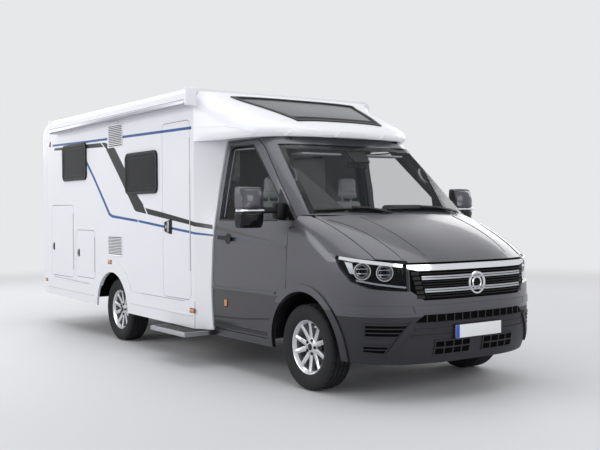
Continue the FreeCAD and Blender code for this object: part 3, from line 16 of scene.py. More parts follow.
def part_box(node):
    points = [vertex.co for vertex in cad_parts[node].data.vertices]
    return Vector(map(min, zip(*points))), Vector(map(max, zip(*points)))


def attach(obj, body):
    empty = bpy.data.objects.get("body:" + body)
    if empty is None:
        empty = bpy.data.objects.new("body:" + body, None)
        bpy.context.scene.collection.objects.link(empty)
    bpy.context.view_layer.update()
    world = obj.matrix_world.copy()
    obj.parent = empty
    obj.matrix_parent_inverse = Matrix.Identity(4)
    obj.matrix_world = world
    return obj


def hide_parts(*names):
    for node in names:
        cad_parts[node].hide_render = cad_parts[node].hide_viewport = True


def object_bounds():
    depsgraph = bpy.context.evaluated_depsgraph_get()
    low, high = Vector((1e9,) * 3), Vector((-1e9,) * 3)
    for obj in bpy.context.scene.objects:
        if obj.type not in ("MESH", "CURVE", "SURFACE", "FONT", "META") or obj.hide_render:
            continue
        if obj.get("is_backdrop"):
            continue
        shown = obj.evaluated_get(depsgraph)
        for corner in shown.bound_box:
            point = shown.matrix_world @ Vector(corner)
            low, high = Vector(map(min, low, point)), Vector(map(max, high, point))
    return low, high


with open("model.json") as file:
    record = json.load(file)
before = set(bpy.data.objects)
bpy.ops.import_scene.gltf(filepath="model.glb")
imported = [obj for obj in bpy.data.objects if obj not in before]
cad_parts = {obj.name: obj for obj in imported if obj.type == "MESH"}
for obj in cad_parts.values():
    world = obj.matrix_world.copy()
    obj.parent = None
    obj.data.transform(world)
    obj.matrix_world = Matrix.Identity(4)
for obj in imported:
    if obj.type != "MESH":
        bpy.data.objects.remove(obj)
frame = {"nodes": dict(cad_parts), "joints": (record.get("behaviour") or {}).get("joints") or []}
cad_low, cad_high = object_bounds()
cad = frame["nodes"]
joint_place = {joint["name"]: Vector(joint["pos_m"])
               for joint in frame["joints"] if "pos_m" in joint}
wheel_place = {end: joint_place[f"wheel_{end}_left_spin"] for end in ("front", "rear")}
front_axle = wheel_place["front"].x
wheel_height = wheel_place["front"].z
print("solids:", len(cad), "front axle at", round(front_axle, 3))

# %% [markdown]
# ## Finishes
# Every real surface varies a little: paint has flakes or a faint orange peel, plastic has a
# grain. One function makes that base finish from noise on Object coordinates, which stay with
# the piece when it moves. Values that are the same all over are set straight on the shader.

# %% Helpers for a finish
GLOSS_SPREAD = 0.15
BUMP_STRENGTH = 0.5
made_finishes = {}


def linear(red, green, blue):
    """Screen values from 0 to 255 as the linear colour that a shader takes."""
    return [((value / 255 + 0.055) / 1.055) ** 2.4 if value > 10 else value / 3295
            for value in (red, green, blue)] + [1.0]


def node(tree, kind, *values, **named):
    """Add a shader node. Names in small letters set it up, the others are its inputs: each
    gets a value or another node's output."""
    made = tree.nodes.new("ShaderNode" + kind)
    inputs = list(enumerate(values))
    for name, value in named.items():
        if name[0].islower():
            setattr(made, name, value)
        else:
            inputs.append((name.replace("_", " "), value))
    for place, value in inputs:
        if isinstance(value, bpy.types.NodeSocket):
            tree.links.new(value, made.inputs[place])
        else:
            made.inputs[place].default_value = value
    return made


def finish(name, colour, roughness, grain=60.0, spread=0.08, relief=0.0, relief_depth=0.001,
           **shader_values):
    """Make a finish and return its node tree. Its colour and roughness follow one noise, and
    its height a finer one."""
    material = bpy.data.materials.new(name)
    material.use_nodes = True
    tree = material.node_tree
    shader = tree.nodes["Principled BSDF"]
    for socket, value in shader_values.items():
        shader.inputs[socket.replace("_", " ")].default_value = value
    place = node(tree, "TexCoord").outputs["Object"]
    noise = node(tree, "TexNoise", Vector=place, Scale=grain, Detail=4.0).outputs["Fac"]
    shade = linear(*colour)[:3]
    tint = node(tree, "Mix", data_type="RGBA", Factor=noise,
                A=[value * (1 - spread) for value in shade] + [1.0],
                B=[min(1.0, value * (1 + spread)) for value in shade] + [1.0])
    gloss = node(tree, "MapRange", Value=noise, To_Min=roughness * (1 - GLOSS_SPREAD),
                 To_Max=min(1.0, roughness * (1 + GLOSS_SPREAD)))
    tree.links.new(tint.outputs["Result"], shader.inputs["Base Color"])
    tree.links.new(gloss.outputs["Result"], shader.inputs["Roughness"])
    if relief:
        fine = node(tree, "TexNoise", Vector=place, Scale=relief).outputs["Fac"]
        bump = node(tree, "Bump", Height=fine, Strength=BUMP_STRENGTH, Distance=relief_depth)
        tree.links.new(bump.outputs["Normal"], shader.inputs["Normal"])
    made_finishes[name] = material
    return tree


def pane(name, colour, roughness, clear_share, **kinds):
    """A finish of which a share is clear, for glass and covers."""
    tree = finish(name, colour, roughness, **kinds)
    mixed = node(tree, "MixShader", clear_share, tree.nodes["Principled BSDF"].outputs[0],
                 node(tree, "BsdfTransparent").outputs[0])
    tree.links.new(mixed.outputs[0], tree.nodes["Material Output"].inputs["Surface"])


# %% The van's own finishes
BODY_WHITE, CAB_GREY, CLADDING_GREY = (232, 233, 238), (76, 76, 83), (44, 44, 49)
STRIPE_BLUE, STRIPE_BLACK = (44, 90, 146), (36, 36, 40)
FADED_BLUE, FADED_BLACK = (52, 76, 104), (62, 62, 68)

finish("wall_paint", BODY_WHITE, 0.34, grain=3.0, spread=0.015, Specular_IOR_Level=0.22)
finish("white_moulding", (236, 237, 242), 0.34, grain=5.0, spread=0.015, Coat_Weight=0.3)
for name in ("white_paint", "shoulder_paint"):
    finish(name, BODY_WHITE, 0.32, grain=4.0, spread=0.015, Coat_Weight=0.3)
for name in ("cab_paint", "door_paint", "wing_paint"):
    finish(name, CAB_GREY, 0.34, grain=900.0, spread=0.22, Metallic=0.45, Coat_Weight=0.5,
           Coat_Roughness=0.08)
finish("cladding", CLADDING_GREY, 0.5, grain=30.0, relief=700.0, relief_depth=0.0004,
       Specular_IOR_Level=0.3)
finish("black_gloss", (14, 14, 16), 0.2, grain=12.0, Specular_IOR_Level=0.3)
# black_and_painted_shade: near-black with almost no shine; painted shade in the grille and bumper
# openings, and the black of lamp floors, wheel liners and the medallion face
finish("black_and_painted_shade", (6, 6, 7), 0.9, grain=30.0, Specular_IOR_Level=0.06)
finish("black_plastic", (20, 20, 22), 0.5, grain=40.0, relief=600.0, relief_depth=0.0003,
       Specular_IOR_Level=0.25)
# seam_and_crease_shade_grey: the grey of real seams, and painted shade under the skirt creases
finish("seam_and_crease_shade_grey", (150, 152, 156), 0.5)
finish("dark_frame", (30, 30, 33), 0.4, Specular_IOR_Level=0.25)
finish("chrome", (228, 230, 234), 0.12, grain=15.0, spread=0.04, Metallic=1.0)
finish("reflector", (150, 153, 160), 0.16, grain=90.0, spread=0.3, Metallic=1.0)
finish("satin_silver", (176, 178, 184), 0.3, grain=90.0, Metallic=0.9)
finish("alloy", (206, 207, 211), 0.27, grain=140.0, spread=0.05, Metallic=0.85)
finish("aluminium", (190, 192, 196), 0.36, grain=200.0, Metallic=0.9)
finish("brake_iron", (112, 108, 104), 0.45, grain=160.0, Metallic=0.8)
finish("tyre_rubber", (36, 36, 38), 0.78, grain=120.0, spread=0.2, relief=900.0,
       relief_depth=0.0005, Specular_IOR_Level=0.3)
finish("chassis_paint", (34, 34, 37), 0.55, grain=20.0, spread=0.2)
finish("cast_metal", (88, 88, 90), 0.6, grain=70.0, spread=0.25, Metallic=0.5, relief=260.0)
finish("lining", (120, 121, 124), 0.8, grain=90.0, relief=500.0)
finish("dash_plastic", (42, 43, 46), 0.62, grain=90.0, relief=500.0)
finish("floor_vinyl", (96, 92, 86), 0.6, grain=40.0, spread=0.2)
finish("oak", (150, 118, 84), 0.45, grain=6.0, spread=0.25)
finish("seat_fabric", (168, 171, 173), 0.88, grain=260.0, spread=0.12, relief=1500.0,
       relief_depth=0.0006)
for name, colour, roughness in (("amber_lens", (212, 122, 10), 0.14),
                                ("red_lens", (178, 18, 26), 0.14),
                                ("pink_lens", (214, 96, 112), 0.2),
                                ("white_lens", (214, 218, 224), 0.12)):
    finish(name, colour, roughness, grain=300.0, Coat_Weight=0.8)
finish("plate_white", (232, 233, 235), 0.35, grain=50.0, spread=0.02)
finish("plate_blue", (28, 78, 180), 0.35, grain=50.0)
pane("windscreen_glass", (60, 70, 72), 0.03, 0.91, grain=2.0, Specular_IOR_Level=0.4)
pane("door_glass", (50, 60, 62), 0.03, 0.86, grain=2.0, Specular_IOR_Level=0.4)
pane("smoked_acrylic", (26, 27, 31), 0.07, 0.22, grain=2.0, spread=0.2, Specular_IOR_Level=0.2)
pane("skylight_acrylic", (84, 86, 90), 0.16, 0.15, grain=2.0, spread=0.1,
     Specular_IOR_Level=0.3)
pane("lamp_cover", (60, 64, 70), 0.03, 0.90, grain=3.0)
print("finishes:", len(made_finishes))

# %% [markdown]
# ## Stripes that run over seams
# The blue and black stripes cross doors, hatches and curved panels, and each must line up with
# the next. Stickers would have to be cut at every seam. Here the stripe is part of the paint:
# two Float Curves give its upper and lower edge at each place along the van, and the colour
# changes between them. Every panel reads the same curves, so the stripes meet at any seam.

# %% Helpers for a painted band
HEIGHT_LOW, HEIGHT_HIGH = 1.0, 2.6
SLASH_BELOW, SLASH_ABOVE = 0.09, 0.02


def calc(tree, operation, first, second=0.0):
    """One Math node; each input is a number or another node's output."""
    return node(tree, "Math", first, second, operation=operation).outputs[0]


def everywhere(tree, first, *others):
    """1 where all masks are 1."""
    for other in others:
        first = calc(tree, "MULTIPLY", first, other)
    return first


def edge_height(tree, along, points):
    """The height of a stripe's edge at each place along the van."""
    start, end = points[0][0], points[-1][0]
    share = calc(tree, "DIVIDE", calc(tree, "SUBTRACT", along, start), end - start)
    curve = node(tree, "FloatCurve", Value=share)
    track = curve.mapping.curves[0].points
    spread = [((x - start) / (end - start), (z - HEIGHT_LOW) / (HEIGHT_HIGH - HEIGHT_LOW))
              for x, z in points]
    track[0].location, track[1].location = spread[0], spread[-1]
    for place in spread[1:-1]:
        track.new(*place)
    for point in track:
        point.handle_type = "VECTOR"
    curve.mapping.update()
    rise = calc(tree, "MULTIPLY", curve.outputs[0], HEIGHT_HIGH - HEIGHT_LOW)
    return calc(tree, "ADD", rise, HEIGHT_LOW)


def band(tree, place, upper, lower):
    """1 inside the stripe between two edges, 0 outside."""
    along = calc(tree, "SUBTRACT", place["X"], front_axle)
    return everywhere(tree, calc(tree, "LESS_THAN", place["Z"], edge_height(tree, along, upper)),
                      calc(tree, "GREATER_THAN", place["Z"], edge_height(tree, along, lower)),
                      calc(tree, "GREATER_THAN", along, upper[0][0]),
                      calc(tree, "LESS_THAN", along, upper[-1][0]))


def slash(tree, place, start, lean, width):
    """1 in a thin slanted cut that starts at a point and leans forward going down."""
    along = calc(tree, "SUBTRACT", place["X"], front_axle + start[0])
    drop = calc(tree, "MULTIPLY", calc(tree, "SUBTRACT", start[1], place["Z"]), lean)
    across = calc(tree, "SUBTRACT", along, drop)
    return everywhere(tree, calc(tree, "GREATER_THAN", across, 0.0),
                      calc(tree, "LESS_THAN", across, width),
                      calc(tree, "GREATER_THAN", place["Z"], start[1] - SLASH_BELOW),
                      calc(tree, "LESS_THAN", place["Z"], start[1] + SLASH_ABOVE))


def paint_over(tree, mask, colour):
    """Lay another colour over a finish where the mask is 1."""
    base = tree.nodes["Principled BSDF"].inputs["Base Color"]
    mix = node(tree, "Mix", data_type="RGBA", Factor=mask, A=base.links[0].from_socket,
               B=linear(*colour))
    tree.links.new(mix.outputs["Result"], base)


def position(tree):
    """The surface point's X, Y and Z."""
    place = node(tree, "TexCoord").outputs["Object"]
    return node(tree, "SeparateXYZ", place).outputs


# %% The three stripes, as edges seen from the side
HIGH_BLUE = ([(-5.546, 2.374), (-4.346, 2.346), (-1.70, 2.302)],
             [(-5.546, 2.347), (-4.346, 2.318), (-1.70, 2.274)])
BLACK_BAND = ([(-5.478, 2.321), (-4.348, 2.301), (-3.801, 2.286), (-3.523, 2.201), (-3.228, 1.932),
               (-2.924, 1.650), (-2.743, 1.519), (-2.317, 1.469), (-1.771, 1.395), (-1.476, 1.346),
               (-0.355, 1.203)],
              [(-5.478, 2.292), (-5.128, 2.276), (-4.349, 2.251), (-3.840, 2.237), (-3.787, 2.217),
               (-3.356, 1.824), (-3.013, 1.497), (-2.975, 1.484), (-2.318, 1.412), (-1.772, 1.352),
               (-1.476, 1.306), (-0.355, 1.201)])
LOW_BLUE = ([(-4.360, 2.103), (-4.101, 1.876), (-3.858, 1.645), (-3.675, 1.466), (-3.597, 1.444),
             (-2.931, 1.394), (-2.333, 1.340), (-1.774, 1.292), (-1.461, 1.256), (-0.80, 1.216)],
            [(-4.360, 2.050), (-4.101, 1.819), (-3.833, 1.559), (-3.718, 1.444), (-3.624, 1.415),
             (-2.931, 1.367), (-2.333, 1.315), (-1.774, 1.268), (-1.461, 1.238), (-0.80, 1.211)])
SLASHES = (((-3.943, 2.294), 1.70, 0.030), ((-2.779, 1.529), 0.886, 0.026),
           ((-2.945, 1.394), 0.9, 0.018))


def add_stripes(name, ground, inner_side, stripes):
    """Paint stripes on a finish, but not on the panel's inner side."""
    tree = made_finishes[name].node_tree
    place = position(tree)
    outside = calc(tree, "GREATER_THAN", calc(tree, "ABSOLUTE", place["Y"]), inner_side)
    for (upper, lower), colour in stripes:
        paint_over(tree, everywhere(tree, band(tree, place, upper, lower), outside), colour)
    for start, lean, width in SLASHES:
        cut = slash(tree, place, start, lean, width)
        paint_over(tree, everywhere(tree, cut, outside), ground)


add_stripes("wall_paint", BODY_WHITE, 1.092,
            ((HIGH_BLUE, STRIPE_BLUE), (BLACK_BAND, STRIPE_BLACK), (LOW_BLUE, STRIPE_BLUE)))
add_stripes("shoulder_paint", BODY_WHITE, 0.995,
            ((BLACK_BAND, STRIPE_BLACK), (LOW_BLUE, STRIPE_BLUE)))
add_stripes("door_paint", CAB_GREY, 0.955, ((BLACK_BAND, FADED_BLACK), (LOW_BLUE, FADED_BLUE)))
print("striped paints done")

# %% [markdown]
# ## Two colours on the cab's lower panels
# The doors and wings are painted above and covered with bare grey plastic below. The edge
# between them is level, so a height test in the finish is enough.

# %% Grey cladding below a height, and finishes for the CAD's own panels
for name, cladding_top in (("door_paint", 0.752), ("wing_paint", 0.700)):
    tree = made_finishes[name].node_tree
    paint_over(tree, calc(tree, "LESS_THAN", position(tree)["Z"], cladding_top), CLADDING_GREY)

NODE_FINISH = {
    "wing_paint": "cab_frame front_wings",
    "cab_paint": "bonnet bumper_upper mirror_left mirror_right",
    "door_paint": "cab_door_left cab_door_right",
    "windscreen_glass": "windscreen", "door_glass": "door_glass_left door_glass_right",
    # the grille plate in black_and_painted_shade is painted shade: a near-black sheet for the dark
    # openings between the bars
    "cladding": "bumper_lower", "black_and_painted_shade": "grille", "lamp_cover": "headlamps",
    "lining": "cab_floor seats", "dash_plastic": "dashboard",
    "black_plastic": "steering_wheel tanks arch_liners",
    "white_moulding": "overcab_hood hatch_frames roof_lid_rear rear_bumper awning",
    "skylight_acrylic": "skylight", "shoulder_paint": "shoulders",
    "wall_paint": "side_wall_right side_wall_left entry_door tall_hatch_right gas_hatch_right "
                  "tall_hatch_left service_hatch_left",
    "smoked_acrylic": "body_windows roof_lid_front", "white_paint": "roof rear_wall skirts",
    "floor_vinyl": "living_floor", "red_lens": "tail_lamps", "oak": "furniture",
    "chassis_paint": "chassis front_axle rear_axle step_case", "aluminium": "step",
    "cast_metal": "engine_block knuckle_left knuckle_right",
    "tyre_rubber": "tyre_front_left tyre_front_right tyre_rear_left tyre_rear_right",
    "alloy": "rim_front_left rim_front_right rim_rear_left rim_rear_right",
}
for material_name, solids in NODE_FINISH.items():
    for name in solids.split():
        cad[name].data.materials.clear()
        cad[name].data.materials.append(made_finishes[material_name])
print("dressed solids:", sum(len(solids.split()) for solids in NODE_FINISH.values()))

# %% [markdown]
# ## Making pieces
# A piece starts as a bmesh, is shaped by operators and then becomes an object that rides on a
# body of the frame. The helpers below hold the steps that each piece needs: closed normals,
# smooth faces with sharp edges kept, finishes and the body it moves with.

# %% Helpers: from bmesh to a riding piece
SHARP = math.radians(32)
SAME_PLACE = 1e-6
SIDES = (("right", -1), ("left", 1))


def settle(name, mesh, body, slot_name, *finishes):
    """Turn a bmesh into a finished piece on a body."""
    bmesh.ops.remove_doubles(mesh, verts=mesh.verts, dist=SAME_PLACE)
    bmesh.ops.recalc_face_normals(mesh, faces=mesh.faces)
    data = bpy.data.meshes.new(name)
    mesh.to_mesh(data)
    mesh.free()
    data.shade_smooth()
    data.set_sharp_from_angle(angle=SHARP)
    thing = bpy.data.objects.new(name, data)
    bpy.context.scene.collection.objects.link(thing)
    for material_name in finishes:
        data.materials.append(made_finishes[material_name])
    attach(thing, body)
    return thing


def linked(verts):
    """Every vertex joined to these, so that a whole new shape can be moved."""
    found, waiting = set(verts), list(verts)
    while waiting:
        for line in waiting.pop().link_edges:
            for vert in line.verts:
                if vert not in found:
                    found.add(vert)
                    waiting.append(vert)
    return list(found)


def give_finish(verts, index):
    """Give the faces round some vertices one of the piece's finishes."""
    for face in {face for vert in verts for face in vert.link_faces}:
        face.material_index = index


def block(mesh, x, y, z, edge=0.0, steps=2, turn=None, index=0):
    """A block with rounded edges, from pairs of limits; x counts from the front axle."""
    low, high = (Vector(ends) for ends in zip(sorted(front_axle + end for end in x),
                                              sorted(y), sorted(z)))
    made = bmesh.ops.create_cube(mesh, size=1.0)["verts"]
    bmesh.ops.scale(mesh, verts=made, vec=high - low)
    if edge:
        lines = list(dict.fromkeys(line for vert in made for line in vert.link_edges))
        made = bmesh.ops.bevel(mesh, geom=lines, offset=edge, segments=steps, profile=0.5,
                               affect="EDGES", material=-1)["verts"]
    whole = linked(made)
    if turn is not None:
        bmesh.ops.transform(mesh, matrix=turn, verts=whole)
    bmesh.ops.translate(mesh, verts=whole, vec=(low + high) / 2)
    give_finish(whole, index)
    return whole


def pole(mesh, start, end, radius, sides=20, index=0):
    """A round bar between two points."""
    run = Vector(end) - Vector(start)
    turn = run.to_track_quat("Z", "Y").to_matrix().to_4x4()
    made = bmesh.ops.create_cone(mesh, cap_ends=True, segments=sides, radius1=radius,
                                 radius2=radius, depth=run.length)["verts"]
    middle = (Vector(start) + Vector(end)) / 2
    bmesh.ops.transform(mesh, matrix=Matrix.Translation(middle) @ turn, verts=made)
    give_finish(made, index)


def from_axle(x, y, z):
    """A point whose length counts from the front axle."""
    return Vector((front_axle + x, y, z))


def ring_shape(mesh, profile, centre=(0, 0, 0), axis=(0, 1, 0), steps=96, index=0):
    """Turn an outline of radii and widths fully round an axis."""
    axis = Vector(axis).normalized()
    across = axis.orthogonal().normalized()
    verts = [mesh.verts.new(Vector(centre) + across * radius + axis * width)
             for radius, width in profile]
    lines = [mesh.edges.new((one, other)) for one, other in zip(verts, verts[1:] + verts[:1])]
    before = set(mesh.faces)
    bmesh.ops.spin(mesh, geom=verts + lines, cent=centre, axis=axis, angle=math.tau,
                   steps=steps, use_merge=True)
    bmesh.ops.remove_doubles(mesh, verts=mesh.verts, dist=SAME_PLACE)
    for face in set(mesh.faces) - before:
        face.material_index = index


def bent_bar(mesh, points, radius):
    """A round bar that follows points in a smooth bow."""
    curve = bpy.data.curves.new("bent_bar", "CURVE")
    curve.dimensions = "3D"
    curve.bevel_depth = radius
    curve.bevel_resolution = 3
    curve.use_fill_caps = True
    line = curve.splines.new("NURBS")
    line.points.add(len(points) - 1)
    for point, place in zip(line.points, points):
        point.co = (*place, 1.0)
    line.order_u = 3
    line.use_endpoint_u = True
    line.resolution_u = 6
    holder = bpy.data.objects.new("bent_bar", curve)
    mesh.from_mesh(bpy.data.meshes.new_from_object(holder))
    bpy.data.objects.remove(holder)


def everything(mesh):
    """All vertices, edges and faces of a bmesh."""
    return mesh.verts[:] + mesh.edges[:] + mesh.faces[:]


def both_sides(mesh):
    """Add the mirror image across the van's middle."""
    bmesh.ops.mirror(mesh, geom=everything(mesh), axis="Y", merge_dist=0.0)


def mirrored_copy(mesh):
    """The mirror image across the van's middle, as its own bmesh."""
    other = mesh.copy()
    bmesh.ops.scale(other, verts=other.verts, vec=(1, -1, 1))
    bmesh.ops.reverse_faces(other, faces=other.faces)
    return other


# %% [markdown]
# ## Trim that follows a curved panel
# Creases, frames, stripes of chrome and dark insets lie on bowed sheet metal; some dark insets are
# painted shade, near-black sheets where openings lie in shade. Each one starts
# as a flat outline, is cut into small cells with bisect_plane, and every corner is dropped
# onto the panel by a ray. Solidify then gives it a thickness, so it stands a little proud.
# The corner views look at the nose from 45 degrees, where the lamps turn round to the side.

# %% Helpers: views and outlines
DIAGONAL = math.sqrt(0.5)
VIEWS = {
    "right": (lambda u, v: (u, -2.0, v), (0, 1, 0)),
    "left": (lambda u, v: (u, 2.0, v), (0, -1, 0)),
    "front": (lambda u, v: (5.0, u, v), (-1, 0, 0)),
    "rear": (lambda u, v: (-5.0, u, v), (1, 0, 0)),
    "top": (lambda u, v: (u, v, 4.0), (0, 0, -1)),
    "corner_right": (lambda u, v: (front_axle + u * DIAGONAL + 3, u * DIAGONAL - 3, v),
                     (-DIAGONAL, DIAGONAL, 0)),
    "corner_left": (lambda u, v: (front_axle + u * DIAGONAL + 3, 3 - u * DIAGONAL, v),
                    (-DIAGONAL, -DIAGONAL, 0)),
}
CORNERS = ("corner_right", "corner_left")
CELL = 0.035
PROUD = 0.0005


def placed(points, view):
    """Points as a view counts them. From the sides and the top, lengths are given from the
    front axle; on a corner, points are length, width and height on the right side."""
    if view in CORNERS:
        return [((length + width) * DIAGONAL, height) for length, width, height in points]
    shift = front_axle if view in ("right", "left", "top") else 0.0
    return [(shift + u, v) for u, v in points]


def rect(left, right, low, high):
    """A rectangle's corners, with its two ends in either order."""
    left, right = sorted((left, right))
    return [(left, low), (right, low), (right, high), (left, high)]


def rect_at(u, v, wide, tall):
    """A rectangle round its middle."""
    return rect(u - wide / 2, u + wide / 2, v - tall / 2, v + tall / 2)


def rounded_outline(left, right, low, high, radius, steps=6):
    """A rectangle with round corners, as points."""
    points = []
    for u, v, first in ((right - radius, high - radius, 0), (left + radius, high - radius, 90),
                        (left + radius, low + radius, 180), (right - radius, low + radius, 270)):
        for index in range(steps + 1):
            angle = math.radians(first + 90 * index / steps)
            points.append((u + radius * math.cos(angle), v + radius * math.sin(angle)))
    return points


# %% Helpers: lay an outline on panels
def skin_of(*names):
    """The panels' triangles, ready for rays."""
    verts, faces = [], []
    for name in names:
        data = cad[name].data
        first = len(verts)
        verts += [vert.co.copy() for vert in data.vertices]
        faces += [[first + index for index in polygon.vertices] for polygon in data.polygons]
    return BVHTree.FromPolygons(verts, faces)


def land(mesh, sheet, on, thick, proud, index):
    """Drop a flat sheet onto a skin, give it a thickness and add it to a piece."""
    view, skin = on
    start, toward = VIEWS[view]
    toward = Vector(toward)
    for vert in sheet.verts:
        origin = Vector(start(vert.co.x, vert.co.y))
        hit, normal, _, _ = skin.ray_cast(origin, toward)
        if hit is None:
            hit, normal, _, _ = skin.find_nearest(origin + toward)
        if normal.dot(toward) > 0:
            normal = -normal
        vert.co = hit + (normal - toward).normalized() * (proud + thick)
    sheet.normal_update()
    if sum(face.normal.dot(toward) * face.calc_area() for face in sheet.faces) > 0:
        bmesh.ops.reverse_faces(sheet, faces=sheet.faces)
    bmesh.ops.solidify(sheet, geom=sheet.faces[:], thickness=thick)
    for face in sheet.faces:
        face.material_index = index
    data = bpy.data.meshes.new("laid")
    sheet.to_mesh(data)
    sheet.free()
    mesh.from_mesh(data)
    bpy.data.meshes.remove(data)


def lay(mesh, outline, on, thick=0.003, proud=PROUD, cell=CELL, index=0):
    """Lay an outline, seen from one side, on a skin; on is the view and the skin."""
    outline = placed(outline, on[0])
    sheet = bmesh.new()
    sheet.faces.new([sheet.verts.new((u, v, 0)) for u, v in outline])
    for axis in (0, 1):
        low, high = min(place[axis] for place in outline), max(place[axis] for place in outline)
        normal = Vector((1 - axis, axis, 0))
        steps = int((high - low) / cell)
        for step in range(1, steps + 1):
            bmesh.ops.bisect_plane(sheet, geom=everything(sheet), plane_no=normal,
                                   plane_co=normal * (low + step * (high - low) / (steps + 1)))
    land(mesh, sheet, on, thick, proud, index)


def lay_strip(mesh, path, width, on, thick=0.003, proud=PROUD, cell=CELL, closed=False, index=0):
    """Lay a strip of one width along a path on a skin."""
    points = denser([Vector(place) for place in placed(path, on[0])], cell, closed)
    sheet = bmesh.new()
    rails = []
    for number, point in enumerate(points):
        before = points[number - 1] if number or closed else None
        after = points[(number + 1) % len(points)] if number + 1 < len(points) or closed else None
        steps = [(after - point).normalized()] if after else []
        steps += [(point - before).normalized()] if before else []
        along = sum(steps, Vector((0, 0))).normalized()
        across = Vector((-along.y, along.x))
        reach = width / 2 / max(0.5, along.dot(steps[0]))
        rails.append([sheet.verts.new((*(point + across * side * reach), 0)) for side in (1, -1)])
    for one, other in zip(rails, rails[1:] + (rails[:1] if closed else [])):
        sheet.faces.new((one[0], one[1], other[1], other[0]))
    land(mesh, sheet, on, thick, proud, index)


def denser(points, cell, closed):
    """The same path with more points on its long stretches."""
    dense = []
    for point, other in zip(points, points[1:] + (points[:1] if closed else [])):
        count = max(1, int((other - point).length / cell))
        dense += [point.lerp(other, step / count) for step in range(count)]
    return dense if closed else dense + [points[-1]]


door_skin = {side_name: skin_of(f"cab_door_{side_name}", f"door_glass_{side_name}")
             for side_name, _ in SIDES}
print("helpers ready")

# %% [markdown]
# ## Wheels
# A tyre is one outline turned round the axle: the spin operator does it, with grooves already
# in the outline. The tread blocks come from pushing every fourth cell of the outer ribs in.
# The wheel itself is a turned barrel, five pairs of spokes, a hub, lugs and a brake disc.

# %% One tyre, round the origin
TYRE_RADIUS = wheel_height - 0.001
GROOVES = (-0.062, -0.021, 0.021, 0.062)
GROOVE_TOP, GROOVE_FOOT, GROOVE_DEPTH = 0.006, 0.0045, 0.008
CELL_DEGREES = 3.0


def tyre_outline():
    """Half of a tyre's outline is mirrored: bead, sidewall, shoulder, then the grooved tread."""
    side = [(0.218, 0.086), (0.229, 0.098), (0.240, 0.104), (0.262, 0.113), (0.286, 0.1165),
            (0.300, 0.1155), (0.3015, 0.1175), (0.306, 0.1170), (0.322, 0.113), (0.338, 0.106),
            (0.348, 0.097), (0.3525, 0.088)]
    tread = [(TYRE_RADIUS, 0.080)]
    for groove in reversed(GROOVES):
        crown = TYRE_RADIUS - 0.0008 * abs(groove) / GROOVES[-1]
        tread += [(crown, groove + GROOVE_TOP), (crown - GROOVE_DEPTH, groove + GROOVE_FOOT),
                  (crown - GROOVE_DEPTH, groove - GROOVE_FOOT), (crown, groove - GROOVE_TOP)]
    tread += [(TYRE_RADIUS, -0.080)]
    return side + tread + [(radius, -width) for radius, width in reversed(side)]


def press_cells(mesh, in_rib, least_radius, every, rim, depth):
    """Push one in so many cells of a rib inwards."""
    cells = []
    for face in mesh.faces:
        middle = face.calc_center_median()
        turn = int(math.degrees(math.atan2(middle.z, middle.x)) / CELL_DEGREES + 240)
        if in_rib(middle.y) and middle.xz.length > least_radius and turn % every == 0:
            cells.append(face)
    bmesh.ops.inset_region(mesh, faces=cells, thickness=rim, depth=depth)


def make_tyre():
    mesh = bmesh.new()
    ring_shape(mesh, tyre_outline(), steps=120)
    press_cells(mesh, lambda y: 0.066 < abs(y) < 0.1, 0.349, 4, 0.0012, -0.005)
    for rib in (0.0, 0.042, -0.042):
        press_cells(mesh, lambda y: abs(y - rib) < 0.004, 0.352, 6, 0.001, -0.004)
    return mesh


# %% One wheel, whose outer side faces left
SPOKE_FOOT, SPOKE_LENGTH, SPOKE_THICKNESS = 0.062, 0.143, 0.030
SPOKE_TURN, SPOKE_TILT = 13.5, 6.0
LUG_CIRCLE = 0.056


def make_rim():
    """Barrel, spokes, hub, lugs, cap, brake disc and valve."""
    mesh = bmesh.new()
    ring_shape(mesh, [(0.232, 0.095), (0.232, 0.089), (0.222, 0.084), (0.206, 0.070),
                      (0.200, 0.020), (0.196, -0.060), (0.222, -0.084), (0.232, -0.089),
                      (0.232, -0.095), (0.224, -0.092), (0.187, -0.062), (0.190, 0.020),
                      (0.197, 0.066), (0.212, 0.083), (0.223, 0.092)])
    for pair in range(5):
        for lean in (-1, 1):
            spoke(mesh, 72 * pair + lean * SPOKE_TURN, lean)
    ring_shape(mesh, [(0.0, 0.071), (0.030, 0.071), (0.033, 0.067), (0.058, 0.064),
                      (0.074, 0.058), (0.080, 0.040), (0.080, 0.010), (0.0, 0.010)], steps=60)
    for number in range(5):
        angle = math.radians(72 * number + 36)
        x, z = math.cos(angle) * LUG_CIRCLE, math.sin(angle) * LUG_CIRCLE
        for foot, top, radius, sides in ((0.060, 0.072, 0.0105, 6), (0.0595, 0.066, 0.0145, 18)):
            pole(mesh, (x, foot, z), (x, top, z), radius, sides=sides, index=1)
    ring_shape(mesh, [(0.0, 0.0745), (0.020, 0.0745), (0.027, 0.0725), (0.0295, 0.068),
                      (0.0, 0.068)], steps=40, index=1)
    ring_shape(mesh, [(0.062, -0.006), (0.150, -0.006), (0.150, -0.018), (0.062, -0.018)],
               steps=60, index=2)
    pole(mesh, (0, -0.02, 0), (0, 0.03, 0), 0.066, sides=40, index=2)
    valve = Vector((math.cos(1.9) * 0.203, 0.07, math.sin(1.9) * 0.203))
    pole(mesh, valve, valve + Vector((0.004, 0.022, 0.002)), 0.0035, sides=10, index=1)
    return mesh


